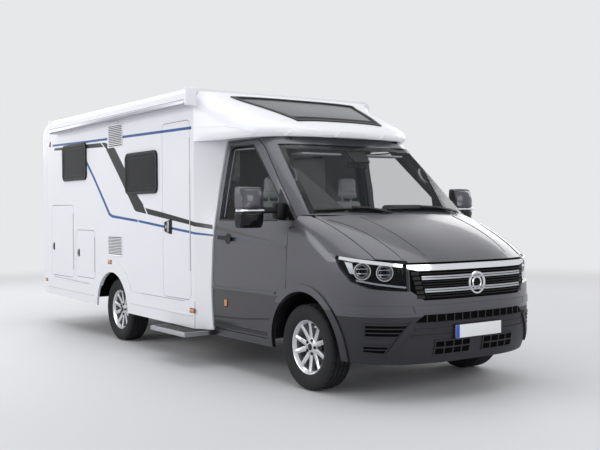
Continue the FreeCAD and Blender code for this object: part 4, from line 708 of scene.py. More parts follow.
def spoke(mesh, degrees, lean):
    """One spoke: a bar that narrows outwards, with a rounded face and a dip at its foot."""
    made = bmesh.ops.create_grid(mesh, x_segments=8, y_segments=2, size=0.5)["verts"]
    for vert in made:
        share = vert.co.x + 0.5
        depth = 0.060 + 0.020 * share ** 1.6 - 0.006 * abs(vert.co.y * 2) ** 2
        half = 0.0225 - 0.004 * share
        vert.co = Vector((SPOKE_FOOT + share * SPOKE_LENGTH, depth, vert.co.y * 2 * half))
    faces = [face for face in mesh.faces if all(vert in made for vert in face.verts)]
    grown = bmesh.ops.extrude_face_region(mesh, geom=faces)["geom"]
    back = [item for item in grown if isinstance(item, bmesh.types.BMVert)]
    bmesh.ops.translate(mesh, verts=back, vec=(0, -SPOKE_THICKNESS, 0))
    tilt = Matrix.Rotation(math.radians(-lean * SPOKE_TILT), 4, "Y")
    shift = Matrix.Translation((SPOKE_FOOT, 0, 0))
    turn = Matrix.Rotation(math.radians(-degrees), 4, "Y")
    bmesh.ops.transform(mesh, matrix=turn @ shift @ tilt @ shift.inverted(),
                        verts=list(made) + back)


# %% Four wheels in place
for end_name, axle in wheel_place.items():
    for side_name, side in SIDES:
        corner_name = f"{end_name}_{side_name}"
        place = Matrix.Translation((axle.x, side * abs(axle.y), wheel_height))
        if side < 0:
            place = place @ Matrix.Rotation(math.pi, 4, "Z")
        for make, name, solid, *looks in (
                (make_tyre, "tread", "tyre", "tread_rubber", "tyre_rubber"),
                (make_rim, "alloy", "rim", "silver_alloy", "alloy", "dark_frame", "brake_iron")):
            mesh = make()
            bmesh.ops.transform(mesh, matrix=place, verts=mesh.verts)
            piece = settle(f"{name}_{corner_name}", mesh, f"wheel_{corner_name}", *looks)
            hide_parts(f"{solid}_{corner_name}")
print("wheels done, faces in a rim:", len(piece.data.polygons))

# %% [markdown]
# ## The nose: grille, bumper and lamps
# On the real van these are plastic parts set into sheet metal. Bars, frames and dark insets are
# laid on the CAD's own skin as thin solids, so they follow its bow from side to side. The dark
# insets in the grille and bumper openings are painted shade: near-black sheets where the openings
# lie in shade.

# %% Grille bars and ribs
GRILLE_TOP, GRILLE_LOW = 1.010, 0.790
BAR_HEIGHTS = (0.957, 0.860)
RIB_HEIGHTS = (0.990, 0.928, 0.908, 0.889, 0.829, 0.809)


def grille_half(height):
    """Half width of the barred part at a height."""
    return 0.512 + 0.050 * (height - GRILLE_LOW) / (GRILLE_TOP - GRILLE_LOW)


grille_skin = skin_of("grille", "headlamps", "bumper_upper")
grille = ("front", grille_skin)
mesh = bmesh.new()
for height in BAR_HEIGHTS:
    for shift in (-0.0085, 0.0085):
        lay(mesh, rect_at(0.0, height + shift, 2 * grille_half(height), 0.012), grille, 0.014)
settle("grille_bars", mesh, "body", "silver_alloy", "satin_silver")
mesh = bmesh.new()
for height in RIB_HEIGHTS:
    lay(mesh, rect_at(0.0, height, 2 * grille_half(height), 0.007), grille, 0.006)
for side in (-1, 1):
    for number in range(6):
        height = 0.812 + number * 0.036
        inner, outer = grille_half(height) + 0.008, grille_half(height) + 0.066
        lay(mesh, rect(side * inner, side * outer, height - 0.013, height + 0.013), grille, 0.007)
settle("grille_ribs", mesh, "body", "black_trim", "black_plastic")
print("grille bars:", len(BAR_HEIGHTS) * 2, "ribs:", len(RIB_HEIGHTS))

# %% Chrome strip and plain medallion
BROW = [(0.853, -0.678, 1.052), (0.70, -0.80, 1.072), (0.56, -0.92, 1.093), (0.45, -0.975, 1.108)]
MEDALLION = from_axle(0.972, 0.0, 0.899)
mesh = bmesh.new()
lay(mesh, [(-0.655, 1.030), (-0.575, 1.012), (0.575, 1.012), (0.655, 1.030), (0.655, 1.058),
           (-0.655, 1.058)], grille, 0.012)
for view in CORNERS:
    lay_strip(mesh, BROW, 0.024, (view, grille_skin), 0.008)
settle("chrome_brow", mesh, "body", "silver_alloy", "chrome")
mesh = bmesh.new()
for profile, index in (
        ([(0.092, -0.02), (0.092, 0.004), (0.087, 0.011), (0.076, 0.011), (0.070, 0.004),
          (0.070, -0.02)], 0),
        ([(0.0, -0.02), (0.0, 0.004), (0.050, 0.002), (0.072, 0.0), (0.072, -0.02)], 1),
        ([(0.038, 0.0), (0.038, 0.006), (0.042, 0.009), (0.050, 0.009), (0.054, 0.006),
          (0.054, 0.0)], 0)):
    ring_shape(mesh, profile, MEDALLION, (1, 0, 0), steps=64, index=index)
settle("plain_medallion", mesh, "body", "silver_alloy", "chrome", "black_and_painted_shade")

# %% [markdown]
# A headlamp is a clear cover with turned reflectors behind it. The CAD solid is the cover;
# the reflectors and the smoked floor behind them are made here, a few centimetres in.

# %% Headlamp insides
lamp = ("corner_right", skin_of("headlamps"))
CUPS = ((0.652, -0.905, 1.008), (0.784, -0.793, 1.000))
BOWL = [(0.058, 0.030), (0.054, 0.030), (0.047, 0.012), (0.043, 0.010), (0.036, -0.004),
        (0.032, -0.006), (0.020, -0.018), (0.0, -0.022), (0.0, -0.027), (0.024, -0.023),
        (0.045, -0.002)]
BULB = [(0.0, -0.01), (0.016, -0.01), (0.019, 0.010), (0.012, 0.017), (0.0, 0.019)]
BEZEL = [(0.062, 0.024), (0.066, 0.024), (0.066, 0.032), (0.062, 0.032)]
mesh = bmesh.new()
lay(mesh, [(0.47, -0.968, 1.095), (0.853, -0.678, 1.045), (0.88, -0.655, 0.862),
           (0.704, -0.878, 0.893), (0.573, -0.952, 0.947), (0.498, -0.972, 1.032)], lamp, 0.004,
    proud=-0.085)
look = Vector((0.86, -0.51, 0)).normalized()
across = look.cross(Vector((0, 0, 1))).normalized()
for cup in CUPS:
    centre = from_axle(*cup) - look * 0.045
    ring_shape(mesh, BOWL, centre, look, steps=40, index=1)
    ring_shape(mesh, BULB, centre, look, steps=24)
    for rise in (-0.018, 0.018):
        middle = centre + Vector((0, 0, rise)) + look * 0.012
        pole(mesh, middle - across * 0.042, middle + across * 0.042, 0.0028, sides=10, index=2)
    ring_shape(mesh, BEZEL, centre, look, steps=40, index=2)
lay_strip(mesh, [(0.60, -0.94, 0.938), (0.74, -0.85, 0.912), (0.88, -0.66, 0.885)], 0.014, lamp,
          0.012, proud=-0.045, index=1)
lay(mesh, [(0.49, -0.969, 1.085), (0.56, -0.95, 1.078), (0.585, -0.945, 0.985),
           (0.54, -0.955, 0.990)], lamp, 0.006, proud=-0.040, index=3)
both_sides(mesh)
settle("lamp_insides", mesh, "body", "black_trim", "black_and_painted_shade", "reflector", "chrome",
       "white_lens")

# %% Bumper: slot, side recesses and lower cells
bumper_skin = skin_of("bumper_lower", "bumper_upper", "front_wings")
bumper = ("front", bumper_skin)
RECESSES = ([(0.672, -0.906, 0.602), (0.880, -0.640, 0.602), (0.845, -0.715, 0.510),
             (0.665, -0.903, 0.510)],
            [(0.648, -0.904, 0.440), (0.800, -0.765, 0.440), (0.765, -0.79, 0.378),
             (0.640, -0.899, 0.388)])
# The slot, the lower cells and the side recesses are painted shade: near-black sheets where the
# bumper's openings lie in shade.
mesh = bmesh.new()
lay(mesh, [(-0.60, 0.618), (0.60, 0.618), (0.53, 0.674), (-0.53, 0.674)], bumper, 0.002)
for side in (-1, 1):
    for low, high in ((0.362, 0.408), (0.418, 0.462)):
        lay(mesh, rect(side * 0.072, side * 0.430, low, high), bumper, 0.002)
for view in CORNERS:
    for recess in RECESSES:
        lay(mesh, recess, (view, bumper_skin), 0.002)
settle("bumper_openings_painted_shade", mesh, "body", "black_trim", "black_and_painted_shade")

# %% Bumper: bars and struts, which leave room for the plate
PLATE_HALF = 0.272
RECESS_BARS = (((0.668, -0.905, 0.572), (0.868, -0.665, 0.572)),
               ((0.666, -0.904, 0.541), (0.856, -0.690, 0.541)),
               ((0.645, -0.902, 0.412), (0.785, -0.775, 0.412)))
mesh = bmesh.new()
for number in range(13):
    lay(mesh, rect_at(-0.51 + number * 0.085, 0.646, 0.008, 0.058), bumper, 0.006, proud=0.002)
for height, half in ((0.560, 0.600), (0.512, 0.625)):
    for near, far in ((-half, -PLATE_HALF), (PLATE_HALF, half)):
        lay(mesh, rect(near, far, height - 0.006, height + 0.006), bumper, 0.008)
lay(mesh, rect_at(0.0, 0.602, 1.15, 0.012), bumper, 0.008)
for side in (-1, 1):
    for number in range(5):
        lay(mesh, rect_at(side * (0.072 + 0.0895 * number), 0.412, 0.010, 0.112), bumper, 0.006,
            proud=0.002)
    for height in (0.357, 0.413, 0.467):
        lay(mesh, rect(side * 0.066, side * 0.436, height - 0.005, height + 0.005), bumper, 0.006,
            proud=0.002)
for view in CORNERS:
    on = (view, bumper_skin)
    lay_strip(mesh, [(0.905, -0.62, 0.612), (0.785, -0.775, 0.362)], 0.042, on, 0.016)
    for recess in RECESSES:
        lay_strip(mesh, recess, 0.011, on, 0.009, closed=True)
    for ends in RECESS_BARS:
        lay_strip(mesh, ends, 0.008, on, 0.006, proud=0.002)
settle("bumper_bars", mesh, "body", "dark_plastic", "cladding")

# %% Blank plate and the painted fold over the bumper
PLATE_X = cad_high.x + 0.005 - front_axle
mesh = bmesh.new()
for back, face, left, right, low, high, edge, index in (
        (-0.008, 0.0, -0.262, 0.262, 0.472, 0.586, 0.003, 1),
        (-0.003, 0.0015, -0.256, 0.256, 0.478, 0.580, 0.001, 0),
        (-0.002, 0.0022, -0.255, -0.214, 0.479, 0.579, 0.0005, 2)):
    block(mesh, (PLATE_X + back, PLATE_X + face), (left, right), (low, high), edge, index=index)
settle("front_plate", mesh, "body", "body_white", "plate_white", "black_plastic", "plate_blue")
mesh = bmesh.new()
lay(mesh, [(-0.60, 0.690), (0.60, 0.690), (0.62, 0.744), (-0.62, 0.744)], bumper, 0.007)
for view in CORNERS:
    lay(mesh, [(0.470, -0.985, 0.684), (0.753, -0.84, 0.680), (0.905, -0.602, 0.690),
               (0.900, -0.622, 0.744), (0.753, -0.84, 0.744), (0.470, -0.985, 0.748)],
        (view, bumper_skin), 0.007)
settle("bumper_fold", mesh, "body", "cab_paint", "cab_paint")
print("nose done")

# %% Creases of bonnet, wings and doors
OUTER_CREASE = [(0.10, -0.815), (0.194, -0.773), (0.309, -0.737), (0.446, -0.702),
                (0.573, -0.683), (0.722, -0.665), (0.835, -0.652)]
INNER_CREASE = [(0.18, -0.530), (0.32, -0.515), (0.46, -0.502), (0.61, -0.487), (0.74, -0.472),
                (0.865, -0.455)]
DOOR_TRIM = (
    ("swage", "cab_paint", "cab_paint", (
        ([(-1.46, 1.226), (-1.12, 1.214), (-0.752, 1.201), (-0.262, 1.170)], 0.014, 0.004),
        ([(-1.46, 0.757), (-0.9, 0.764), (-0.395, 0.776)], 0.020, 0.008))),
    ("cladding", "dark_plastic", "cladding", (
        ([(-1.46, 0.480), (-0.95, 0.500), (-0.47, 0.545)], 0.012, 0.006),
        ([(-1.46, 0.404), (-0.95, 0.404), (-0.46, 0.404)], 0.030, 0.006))))
bonnet = ("top", skin_of("bonnet"))
mesh = bmesh.new()
for path, width, thick in ((OUTER_CREASE, 0.016, 0.0055), (INNER_CREASE, 0.014, 0.005)):
    lay_strip(mesh, path, width, bonnet, thick, proud=-0.002, cell=0.05)
both_sides(mesh)
settle("bonnet_creases", mesh, "bonnet", "cab_paint", "cab_paint")
for side_name, _ in SIDES:
    for name, slot_name, material_name, strips in DOOR_TRIM:
        mesh = bmesh.new()
        for path, width, thick in strips:
            lay_strip(mesh, path, width, (side_name, door_skin[side_name]), thick)
        settle(f"door_{name}_{side_name}", mesh, f"cab_door_{side_name}", slot_name,
               material_name)
mesh = bmesh.new()
lay_strip(mesh, [(-0.225, 1.168), (0.0, 1.160), (0.193, 1.151), (0.415, 1.122)], 0.014,
          ("right", skin_of("front_wings")), 0.004)
both_sides(mesh)
settle("wing_swage", mesh, "body", "cab_paint", "cab_paint")

# %% [markdown]
# ## Cab doors: handle, window seal, mirror
# What is on a door has to swing with it, so these pieces ride on the door's body. The mirror
# head is two rounded shells with a bright strip between them, on a black arm.

# %% Window seals, handles and the black triangle
WINDOW = [(-1.398, 1.402), (-1.387, 2.088), (-0.992, 2.080), (-0.888, 1.995), (-0.440, 1.592),
          (-0.440, 1.402)]
TRIANGLE = [(-0.438, 1.398), (-0.160, 1.398), (-0.245, 1.478), (-0.438, 1.668)]
HANDLE_DISC = [(-1.211 + 0.056 * math.cos(math.radians(angle)),
                1.224 + 0.050 * math.sin(math.radians(angle))) for angle in range(0, 360, 20)]
for side_name, _ in SIDES:
    body = f"cab_door_{side_name}"
    on = (side_name, skin_of(body))
    mesh = bmesh.new()
    lay_strip(mesh, WINDOW, 0.022, on, 0.005, proud=-0.001, closed=True)
    lay(mesh, TRIANGLE, on, 0.006)
    lay_strip(mesh, [(-1.374, 1.425), (-1.364, 2.062), (-1.0, 2.056)], 0.014,
              (side_name, door_skin[side_name]), 0.003, proud=0.001, index=1)
    settle(f"window_seal_{side_name}", mesh, body, "black_trim", "black_gloss", "lining")
    mesh = bmesh.new()
    lay(mesh, HANDLE_DISC, on, 0.002)
    lay_strip(mesh, [(-1.352, 1.233), (-1.24, 1.228), (-1.118, 1.220)], 0.036, on, 0.022,
              proud=0.012, cell=0.02)
    settle(f"door_handle_{side_name}", mesh, body, "black_trim", "black_gloss")

# %% Mirrors
MIRROR_FRONT, MIRROR_REAR = -0.330, -0.478
MIRROR_OUT, MIRROR_WIDE = cad_high.y, 0.235
MIRROR_IN = MIRROR_OUT - MIRROR_WIDE
MIRROR_LOW, MIRROR_HIGH, MIRROR_SPLIT = 1.336, 1.682, 1.482
MIRROR_GLASS = (MIRROR_REAR - 0.004, MIRROR_REAR + 0.004)


def mirror_shell(low, high, index, top_taper, low_taper):
    """A rounded housing between two heights; its front bulges and its ends draw in."""
    mesh = bmesh.new()
    bmesh.ops.create_cube(mesh, size=1.0)
    bmesh.ops.subdivide_edges(mesh, edges=mesh.edges[:], cuts=5, use_grid_fill=True)
    for vert in mesh.verts:
        u, v, w = vert.co.x + 0.5, vert.co.y * 2, vert.co.z + 0.5
        pull = 1 - top_taper * max(0, w - 0.5) ** 2 * 4 - low_taper * max(0, 0.5 - w) ** 2 * 4
        bulge = 0.80 + 0.20 * (1 - v ** 2)
        half = MIRROR_WIDE / 2 * (0.90 + 0.10 * pull) * (1 - 0.07 * u)
        vert.co = from_axle(MIRROR_REAR + (MIRROR_FRONT - MIRROR_REAR) * u * pull * bulge,
                            (MIRROR_OUT + MIRROR_IN) / 2 + v * half, low + (high - low) * w)
    edges = [line for line in mesh.edges
             if len(line.link_faces) == 2 and line.calc_face_angle() > 0.9]
    bmesh.ops.bevel(mesh, geom=edges, offset=0.018, segments=3, profile=0.5, affect="EDGES",
                    material=-1)
    for face in mesh.faces:
        face.material_index = index
    data = bpy.data.meshes.new("shell")
    mesh.to_mesh(data)
    mesh.free()
    return data


def make_mirror():
    """The left mirror: painted cap, dark lower housing, bright strip and two glasses."""
    mesh = bmesh.new()
    mesh.from_mesh(mirror_shell(MIRROR_SPLIT + 0.012, MIRROR_HIGH, 0, 0.34, 0.0))
    mesh.from_mesh(mirror_shell(MIRROR_LOW, MIRROR_SPLIT - 0.012, 1, 0.0, 0.30))
    block(mesh, (MIRROR_REAR + 0.006, MIRROR_FRONT - 0.020),
          (MIRROR_IN + 0.004, MIRROR_OUT - 0.006), (MIRROR_SPLIT - 0.013, MIRROR_SPLIT + 0.013),
          edge=0.010, steps=3, index=2)
    for heights in ((MIRROR_SPLIT + 0.022, MIRROR_HIGH - 0.030),
                    (MIRROR_LOW + 0.024, MIRROR_SPLIT - 0.022)):
        block(mesh, MIRROR_GLASS, (MIRROR_IN + 0.022, MIRROR_OUT - 0.022), heights, edge=0.0035,
              index=3)
    return mesh


def make_mirror_arm():
    """Black arm and foot between the head and the triangle on the door."""
    mesh = bmesh.new()
    block(mesh, (-0.416, -0.346), (0.945, MIRROR_IN + 0.02), (1.458, 1.512), edge=0.016, steps=3)
    block(mesh, (-0.430, -0.332), (0.930, 1.022), (1.408, 1.552), edge=0.022, steps=3)
    return mesh


for side_name, side in SIDES:
    for make, name, *looks in (
            (make_mirror, "mirror_head", "cab_paint", "cab_paint", "black_gloss", "chrome",
             "chrome"),
            (make_mirror_arm, "mirror_arm", "black_trim", "black_plastic")):
        mesh = make() if side > 0 else mirrored_copy(make())
        piece = settle(f"{name}_{side_name}", mesh, f"cab_door_{side_name}", *looks)
        if name == "mirror_head":
            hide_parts(f"mirror_{side_name}")

# %% Windscreen border and wipers
screen = ("front", skin_of("windscreen"))
scuttle = ("front", skin_of("windscreen", "cab_frame", "bonnet"))
WIPERS = (((-0.845, 1.482), (-0.200, 1.478), (-0.140, 1.452), 0.30),
          ((-0.150, 1.486), (0.640, 1.476), (0.700, 1.452), 0.36))
BLADE_STEPS = 10
mesh = bmesh.new()
lay_strip(mesh, [(-0.862, 1.474), (0.862, 1.474), (0.755, 2.058), (-0.755, 2.058)], 0.040,
          screen, 0.002, proud=-0.0105, closed=True)
settle("windscreen_border", mesh, "body", "black_trim", "black_gloss")
mesh = bmesh.new()
for start, end, foot, sweep in WIPERS:
    blade = []
    for step in range(BLADE_STEPS + 1):
        share = step / BLADE_STEPS
        blade.append((start[0] + (end[0] - start[0]) * share,
                      start[1] + (end[1] - start[1]) * share + 0.010 * math.sin(share * math.pi)))
    lay_strip(mesh, blade, 0.012, screen, 0.012, proud=0.001, cell=0.05)
    u, v = blade[BLADE_STEPS // 2]
    lay_strip(mesh, [foot, (u + sweep * 0.55, v + 0.004), (u, v + 0.010)], 0.016, scuttle, 0.010,
              proud=0.012, cell=0.05)
settle("wipers", mesh, "body", "black_trim", "black_plastic")
print("cab pieces done")

# %% [markdown]
# ## The living body: windows, louvres, handles and lamps
# A caravan window is a curved sheet of dark acrylic with a frame printed round its edge. A
# louvre is a tray with slats: the tray is a plate whose face is inset and pushed in.

# %% Window frames
WINDOWS = ((-3.219, -2.436, 1.669, 2.121), (-5.150, -4.361, 1.873, 2.329))
window_skin = skin_of("body_windows")
mesh = bmesh.new()
for left, right, low, high in WINDOWS:
    for side_name, _ in SIDES:
        on = (side_name, window_skin)
        for inset, width, thick in ((0.014, 0.026, 0.004), (0.062, 0.005, 0.0015)):
            outline = rounded_outline(left + inset, right - inset, low + inset, high - inset,
                                      0.070 - inset * 0.5)
            lay_strip(mesh, outline, width, on, thick, closed=True)
        for u in (left + 0.13, right - 0.13):
            lay(mesh, rect(u - 0.022, u + 0.022, low + 0.050, low + 0.066), on, 0.012,
                proud=-0.030)
settle("window_frames", mesh, "body", "black_trim", "dark_frame")

# %% Louvres
WALL, SKIRT_WALL, DOOR_WALL = 1.100, 1.109, 1.011
LOUVRES = ((-3.712, -3.306, 2.212, 2.472), (-3.745, -3.345, 0.980, 1.208))
SLATS, SLAT_TILT, SLAT_HALF = 11, 28.0, 0.005
TRAY_RIM, TRAY_DEPTH = 0.016, 0.009


def make_louvre(mesh, left, right, low, high, side):
    """A white tray on the wall with slats across it."""
    wall = side * WALL
    made = block(mesh, (left, right), (wall - side * 0.002, wall + side * 0.010), (low, high),
                 edge=0.004)
    front = [face for face in {face for vert in made for face in vert.link_faces}
             if face.normal.y * side > 0.9 and face.calc_area() > 0.02]
    bmesh.ops.inset_region(mesh, faces=front, thickness=TRAY_RIM)
    bmesh.ops.translate(mesh, verts=list({vert for face in front for vert in face.verts}),
                        vec=(0, -side * TRAY_DEPTH, 0))
    for face in front:
        face.material_index = 1
    pitch = (high - low - 0.040) / SLATS
    tilt = Matrix.Rotation(side * math.radians(SLAT_TILT), 4, "X")
    middle = wall + side * 0.0045
    for number in range(SLATS):
        z = low + 0.020 + pitch * (number + 0.5)
        block(mesh, (left + 0.015, right - 0.015), (middle - SLAT_HALF, middle + SLAT_HALF),
              (z - pitch * 0.24, z + pitch * 0.24), edge=0.0015, steps=1, turn=tilt)


mesh = bmesh.new()
for place in LOUVRES:
    make_louvre(mesh, *place, -1)
make_louvre(mesh, *LOUVRES[1], 1)
settle("louvres", mesh, "body", "white_plastic", "white_moulding", "black_plastic")

# %% Handles and hinges of the door and the hatches
LIDS = (("entry_door", -1, (-2.205, 1.325, 0.150, 0.150), (-1.748, 0.90, 2.20)),
        ("tall_hatch_right", -1, (-5.535, 1.035, 0.070, 0.105), (-4.834, 0.76, 1.47)),
        ("gas_hatch_right", -1, (-4.660, 0.979, 0.070, 0.100), (-4.146, 0.76, 1.18)),
        ("tall_hatch_left", 1, (-5.535, 1.035, 0.070, 0.105), (-4.834, 0.76, 1.47)),
        ("service_hatch_left", 1, (-3.080, 0.980, 0.060, 0.080), (-2.748, 0.76, 1.01)))


def d_handle(mesh, u, v, wide, tall, side):
    """A D-shaped black recess with a lever and a lock."""
    wall = side * WALL
    made = block(mesh, (u - wide / 2, u + wide / 2), (wall - side * 0.004, wall + side * 0.006),
                 (v - tall / 2, v + tall / 2), edge=min(wide, tall) * 0.10, steps=3)
    for vert in made:
        share = (vert.co.x - front_axle - u) / wide + 0.5
        vert.co.z = v + (vert.co.z - v) * (0.62 + 0.38 * share)
    block(mesh, (u - wide * 0.06, u + wide * 0.18), (wall + side * 0.004, wall + side * 0.016),
          (v - tall * 0.36, v + tall * 0.36), edge=0.004, steps=3, index=1)
    pole(mesh, from_axle(u - wide * 0.28, wall, v),
         from_axle(u - wide * 0.28, wall + side * 0.010, v), min(wide, tall) * 0.13, index=1)


for name, side, handle, (u, low, high) in LIDS:
    mesh = bmesh.new()
    d_handle(mesh, *handle, side)
    hinge = side * (WALL + 0.0005)
    pole(mesh, from_axle(u, hinge, low), from_axle(u, hinge, high), 0.0065, sides=12, index=2)
    settle(f"{name}_fittings", mesh, name, "black_trim", "black_plastic", "satin_silver",
           "aluminium")

# %% Marker lamps
LAMP_FINISHES = ("lamp", "amber_lens", "red_lens", "pink_lens", "black_plastic")


def marker(mesh, u, v, wide, tall, side, wall, index=0):
    """A lens on a black base that is 6 mm larger all round."""
    for rim, back, face, edge, steps, own in ((0.0, -0.003, 0.009, 0.0055, 3, index),
                                              (0.006, -0.004, 0.003, 0.003, 2, 3)):
        block(mesh, (u - wide / 2 - rim, u + wide / 2 + rim),
              (side * (wall + back), side * (wall + face)),
              (v - tall / 2 - rim, v + tall / 2 + rim), edge, steps, index=own)


mesh = bmesh.new()
for side in (-1, 1):
    marker(mesh, -3.682, 0.904, 0.095, 0.036, side, SKIRT_WALL)
    marker(mesh, -1.700, 0.518, 0.095, 0.034, side, SKIRT_WALL)
    marker(mesh, -5.800, 0.579, 0.080, 0.032, side, SKIRT_WALL)
    marker(mesh, -5.640, 2.382, 0.046, 0.052, side, WALL, index=1)
settle("marker_lamps", mesh, "body", *LAMP_FINISHES)
for side_name, side in SIDES:
    mesh = bmesh.new()
    marker(mesh, -1.222, 0.626, 0.046, 0.062, side, DOOR_WALL)
    settle(f"door_marker_{side_name}", mesh, f"cab_door_{side_name}", *LAMP_FINISHES)

# %% Skirt creases, painted shade under them, and seams
skirt = ("right", skin_of("skirts"))
wall = ("right", skin_of("skirts", "side_wall_right"))
mesh = bmesh.new()
for path in ([(-1.70, 0.470), (-3.10, 0.482)], [(-4.18, 0.490), (-5.72, 0.502)]):
    lay_strip(mesh, path, 0.014, skirt, 0.007, cell=0.2)
    # a thin grey line 9 mm under each crease is painted shade under the crease
    lay_strip(mesh, [(u, v - 0.009) for u, v in path], 0.004, skirt, 0.002, cell=0.2, index=1)
for path in ([(-1.63, 0.598), (-3.02, 0.604)], [(-4.32, 0.612), (-5.74, 0.640)]):
    lay_strip(mesh, path, 0.005, wall, 0.0015, cell=0.2, index=1)
both_sides(mesh)
settle("skirt_creases", mesh, "body", "white_plastic", "white_paint", "seam_and_crease_shade_grey")

# %% Hood cheeks, lip facets and skylight frame
hood_skin = skin_of("overcab_hood")
CHEEK = [(-1.60, 2.300), (-1.488, 2.288), (-1.242, 2.280), (-0.989, 2.238), (-0.80, 2.190)]
LEDGE = [(-1.560, 2.176), (-1.470, 2.252), (-1.240, 2.262), (-1.000, 2.226), (-0.860, 2.186),
         (-0.900, 2.170), (-1.200, 2.168)]
mesh = bmesh.new()
lay_strip(mesh, CHEEK, 0.020, ("right", hood_skin), 0.008, proud=-0.002)
both_sides(mesh)
for middle, low, high in ((-0.52, 0.17, 0.11), (0.0, 0.20, 0.14), (0.52, 0.17, 0.11)):
    lay(mesh, [(middle - low, 2.160), (middle + low, 2.160), (middle + high, 2.204),
               (middle - high, 2.204)], ("front", hood_skin), 0.014, cell=0.02)
for side_name, _ in SIDES:
    lay(mesh, LEDGE, (side_name, hood_skin), 0.011, proud=-0.001)
settle("hood_facets", mesh, "body", "white_plastic", "white_moulding")

skylight = ("top", skin_of("skylight", "overcab_hood"))
mesh = bmesh.new()
lay_strip(mesh, [(-0.775, -0.490), (-0.775, 0.490), (-1.512, 0.738), (-1.512, -0.738)], 0.034,
          skylight, 0.010, closed=True)
for number in range(4):
    u = -0.802 - number * 0.020
    half = 0.470 + 0.34 * (-0.775 - u)
    lay_strip(mesh, [(u, -half), (u, half)], 0.009, skylight, 0.007)
settle("skylight_frame", mesh, "body", "black_trim", "dark_frame")

# %% Awning: lead rail, end caps and brackets
low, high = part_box("awning")
start, end = low.x - front_axle, high.x - front_axle
mesh = bmesh.new()
for y, z, edge, index in (((-0.003, 0.012), (0.010, 0.046), 0.003, 1),
                          ((0.012, 0.070), (-0.002, 0.004), 0.002, 1),
                          ((-0.001, 0.010), (0.052, 0.056), 0.0015, 2)):
    block(mesh, (start + 0.03, end - 0.03), (low.y + y[0], low.y + y[1]),
          (low.z + z[0], low.z + z[1]), edge, index=index)
for u in (start - 0.004, end - 0.020):
    block(mesh, (u, u + 0.024), (low.y - 0.003, high.y - 0.004), (low.z - 0.003, high.z + 0.003),
          edge=0.010, steps=4)
for share in (0.12, 0.5, 0.88):
    u = start + (end - start) * share
    block(mesh, (u - 0.05, u + 0.05), (high.y - 0.03, high.y - 0.001),
          (low.z - 0.006, low.z + 0.03), edge=0.004)
settle("awning_trim", mesh, "body", "white_plastic", "white_moulding", "satin_silver",
       "dark_frame")

# %% Step treads
low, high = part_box("step")
start, end = low.x - front_axle, high.x - front_axle
RIBS = 14
mesh = bmesh.new()
for number in range(RIBS):
    y = low.y + 0.030 + (high.y - low.y - 0.060) * number / (RIBS - 1)
    block(mesh, (start + 0.03, end - 0.03), (y - 0.0035, y + 0.0035),
          (high.z - 0.002, high.z + 0.0035), edge=0.001, steps=1)
block(mesh, (start + 0.004, end - 0.004), (low.y - 0.003, low.y + 0.010),
      (low.z + 0.004, high.z + 0.002), edge=0.003, index=1)
settle("step_tread", mesh, "step", "black_trim", "dark_frame", "satin_silver")
print("body pieces done")

# %% [markdown]
# ## Seats
# Each pad starts as a small rounded block and is blown up like a cushion: the cloth
# simulation pushes its skin outwards for twenty frames, and no point may move further than a
# cap. The sewn channels are pressed in afterwards.

# %% Pads blown up by a cloth simulation
VOXEL = 0.010
SWELL_FRAMES = 20
PRESSURE = 4.0
SEAM_HALF, SEAM_DEPTH = 0.007, 0.009
FACE_DEPTH = 0.055


def evaluated_copy(thing):
    """The mesh of an object with its modifiers taken in."""
    graph = bpy.context.evaluated_depsgraph_get()
    return bpy.data.meshes.new_from_object(thing.evaluated_get(graph))


def swell(data, cap):
    """Blow a closed mesh up and return the new mesh."""
    thing = bpy.data.objects.new("pad", data)
    bpy.context.scene.collection.objects.link(thing)
    remesh = thing.modifiers.new("voxels", "REMESH")
    remesh.mode = "VOXEL"
    remesh.voxel_size = VOXEL
    even = evaluated_copy(thing)
    thing.modifiers.clear()
    thing.data = even
    cloth = thing.modifiers.new("cloth", "CLOTH")
    cloth.settings.use_pressure = True
    cloth.settings.uniform_pressure_force = PRESSURE
    cloth.settings.effector_weights.gravity = 0
    for number in range(1, SWELL_FRAMES + 1):
        bpy.context.scene.frame_set(number)
    blown = evaluated_copy(thing)
    for vert, moved in zip(even.vertices, blown.vertices):
        step = moved.co - vert.co
        vert.co += step * min(1.0, cap / max(step.length, 1e-9))
    thing.modifiers.clear()
    bpy.context.scene.frame_set(1)
    smooth = thing.modifiers.new("fine", "SUBSURF")
    smooth.levels = smooth.render_levels = 1
    finished = evaluated_copy(thing)
    bpy.data.objects.remove(thing)
    return finished


def pad(x, y, z, shape, channels, facing, cap):
    """A cushion between limits; shape bends it, channels are grooves as (axis, place) across
    the face that looks up or forward, given as an axis."""
    mesh = bmesh.new()
    block(mesh, x, y, z, edge=0.035, steps=4)
    bmesh.ops.subdivide_edges(mesh, edges=mesh.edges[:], cuts=2, use_grid_fill=True)
    for vert in mesh.verts:
        vert.co = shape(vert.co)
    start = bpy.data.meshes.new("pad_start")
    mesh.to_mesh(start)
    mesh.free()
    mesh = bmesh.new()
    mesh.from_mesh(swell(start, cap))
    outermost = max(vert.co[facing] for vert in mesh.verts)
    for vert in mesh.verts:
        if outermost - vert.co[facing] < FACE_DEPTH:
            depth = sum(math.exp(-((vert.co[axis] - place) / SEAM_HALF) ** 2)
                        for axis, place in channels)
            vert.co[facing] -= SEAM_DEPTH * min(1.0, depth)
    return mesh


# %% Seat pads on both sides
SEAT_MIDDLE = -0.45
BACK_LOW, BACK_HIGH, HEAD_LOW, HEAD_HIGH = 0.925, 1.590, 1.596, 1.806
SHOULDER, LEAN = 0.45, 0.028


def narrowed(point, share, shift=0.0):
    """Draw a point towards the seat's middle line, and move it along the van."""
    return Vector((point.x + shift, SEAT_MIDDLE + (point.y - SEAT_MIDDLE) * share, point.z))


def place_of_back(point):
    """Lean the back a little and draw its shoulders in."""
    share = (point.z - BACK_LOW) / (BACK_HIGH - BACK_LOW)
    return narrowed(point, 1.0 - 0.26 * (max(0.0, share - SHOULDER) / (1 - SHOULDER)) ** 2,
                    LEAN * (0.5 - share))


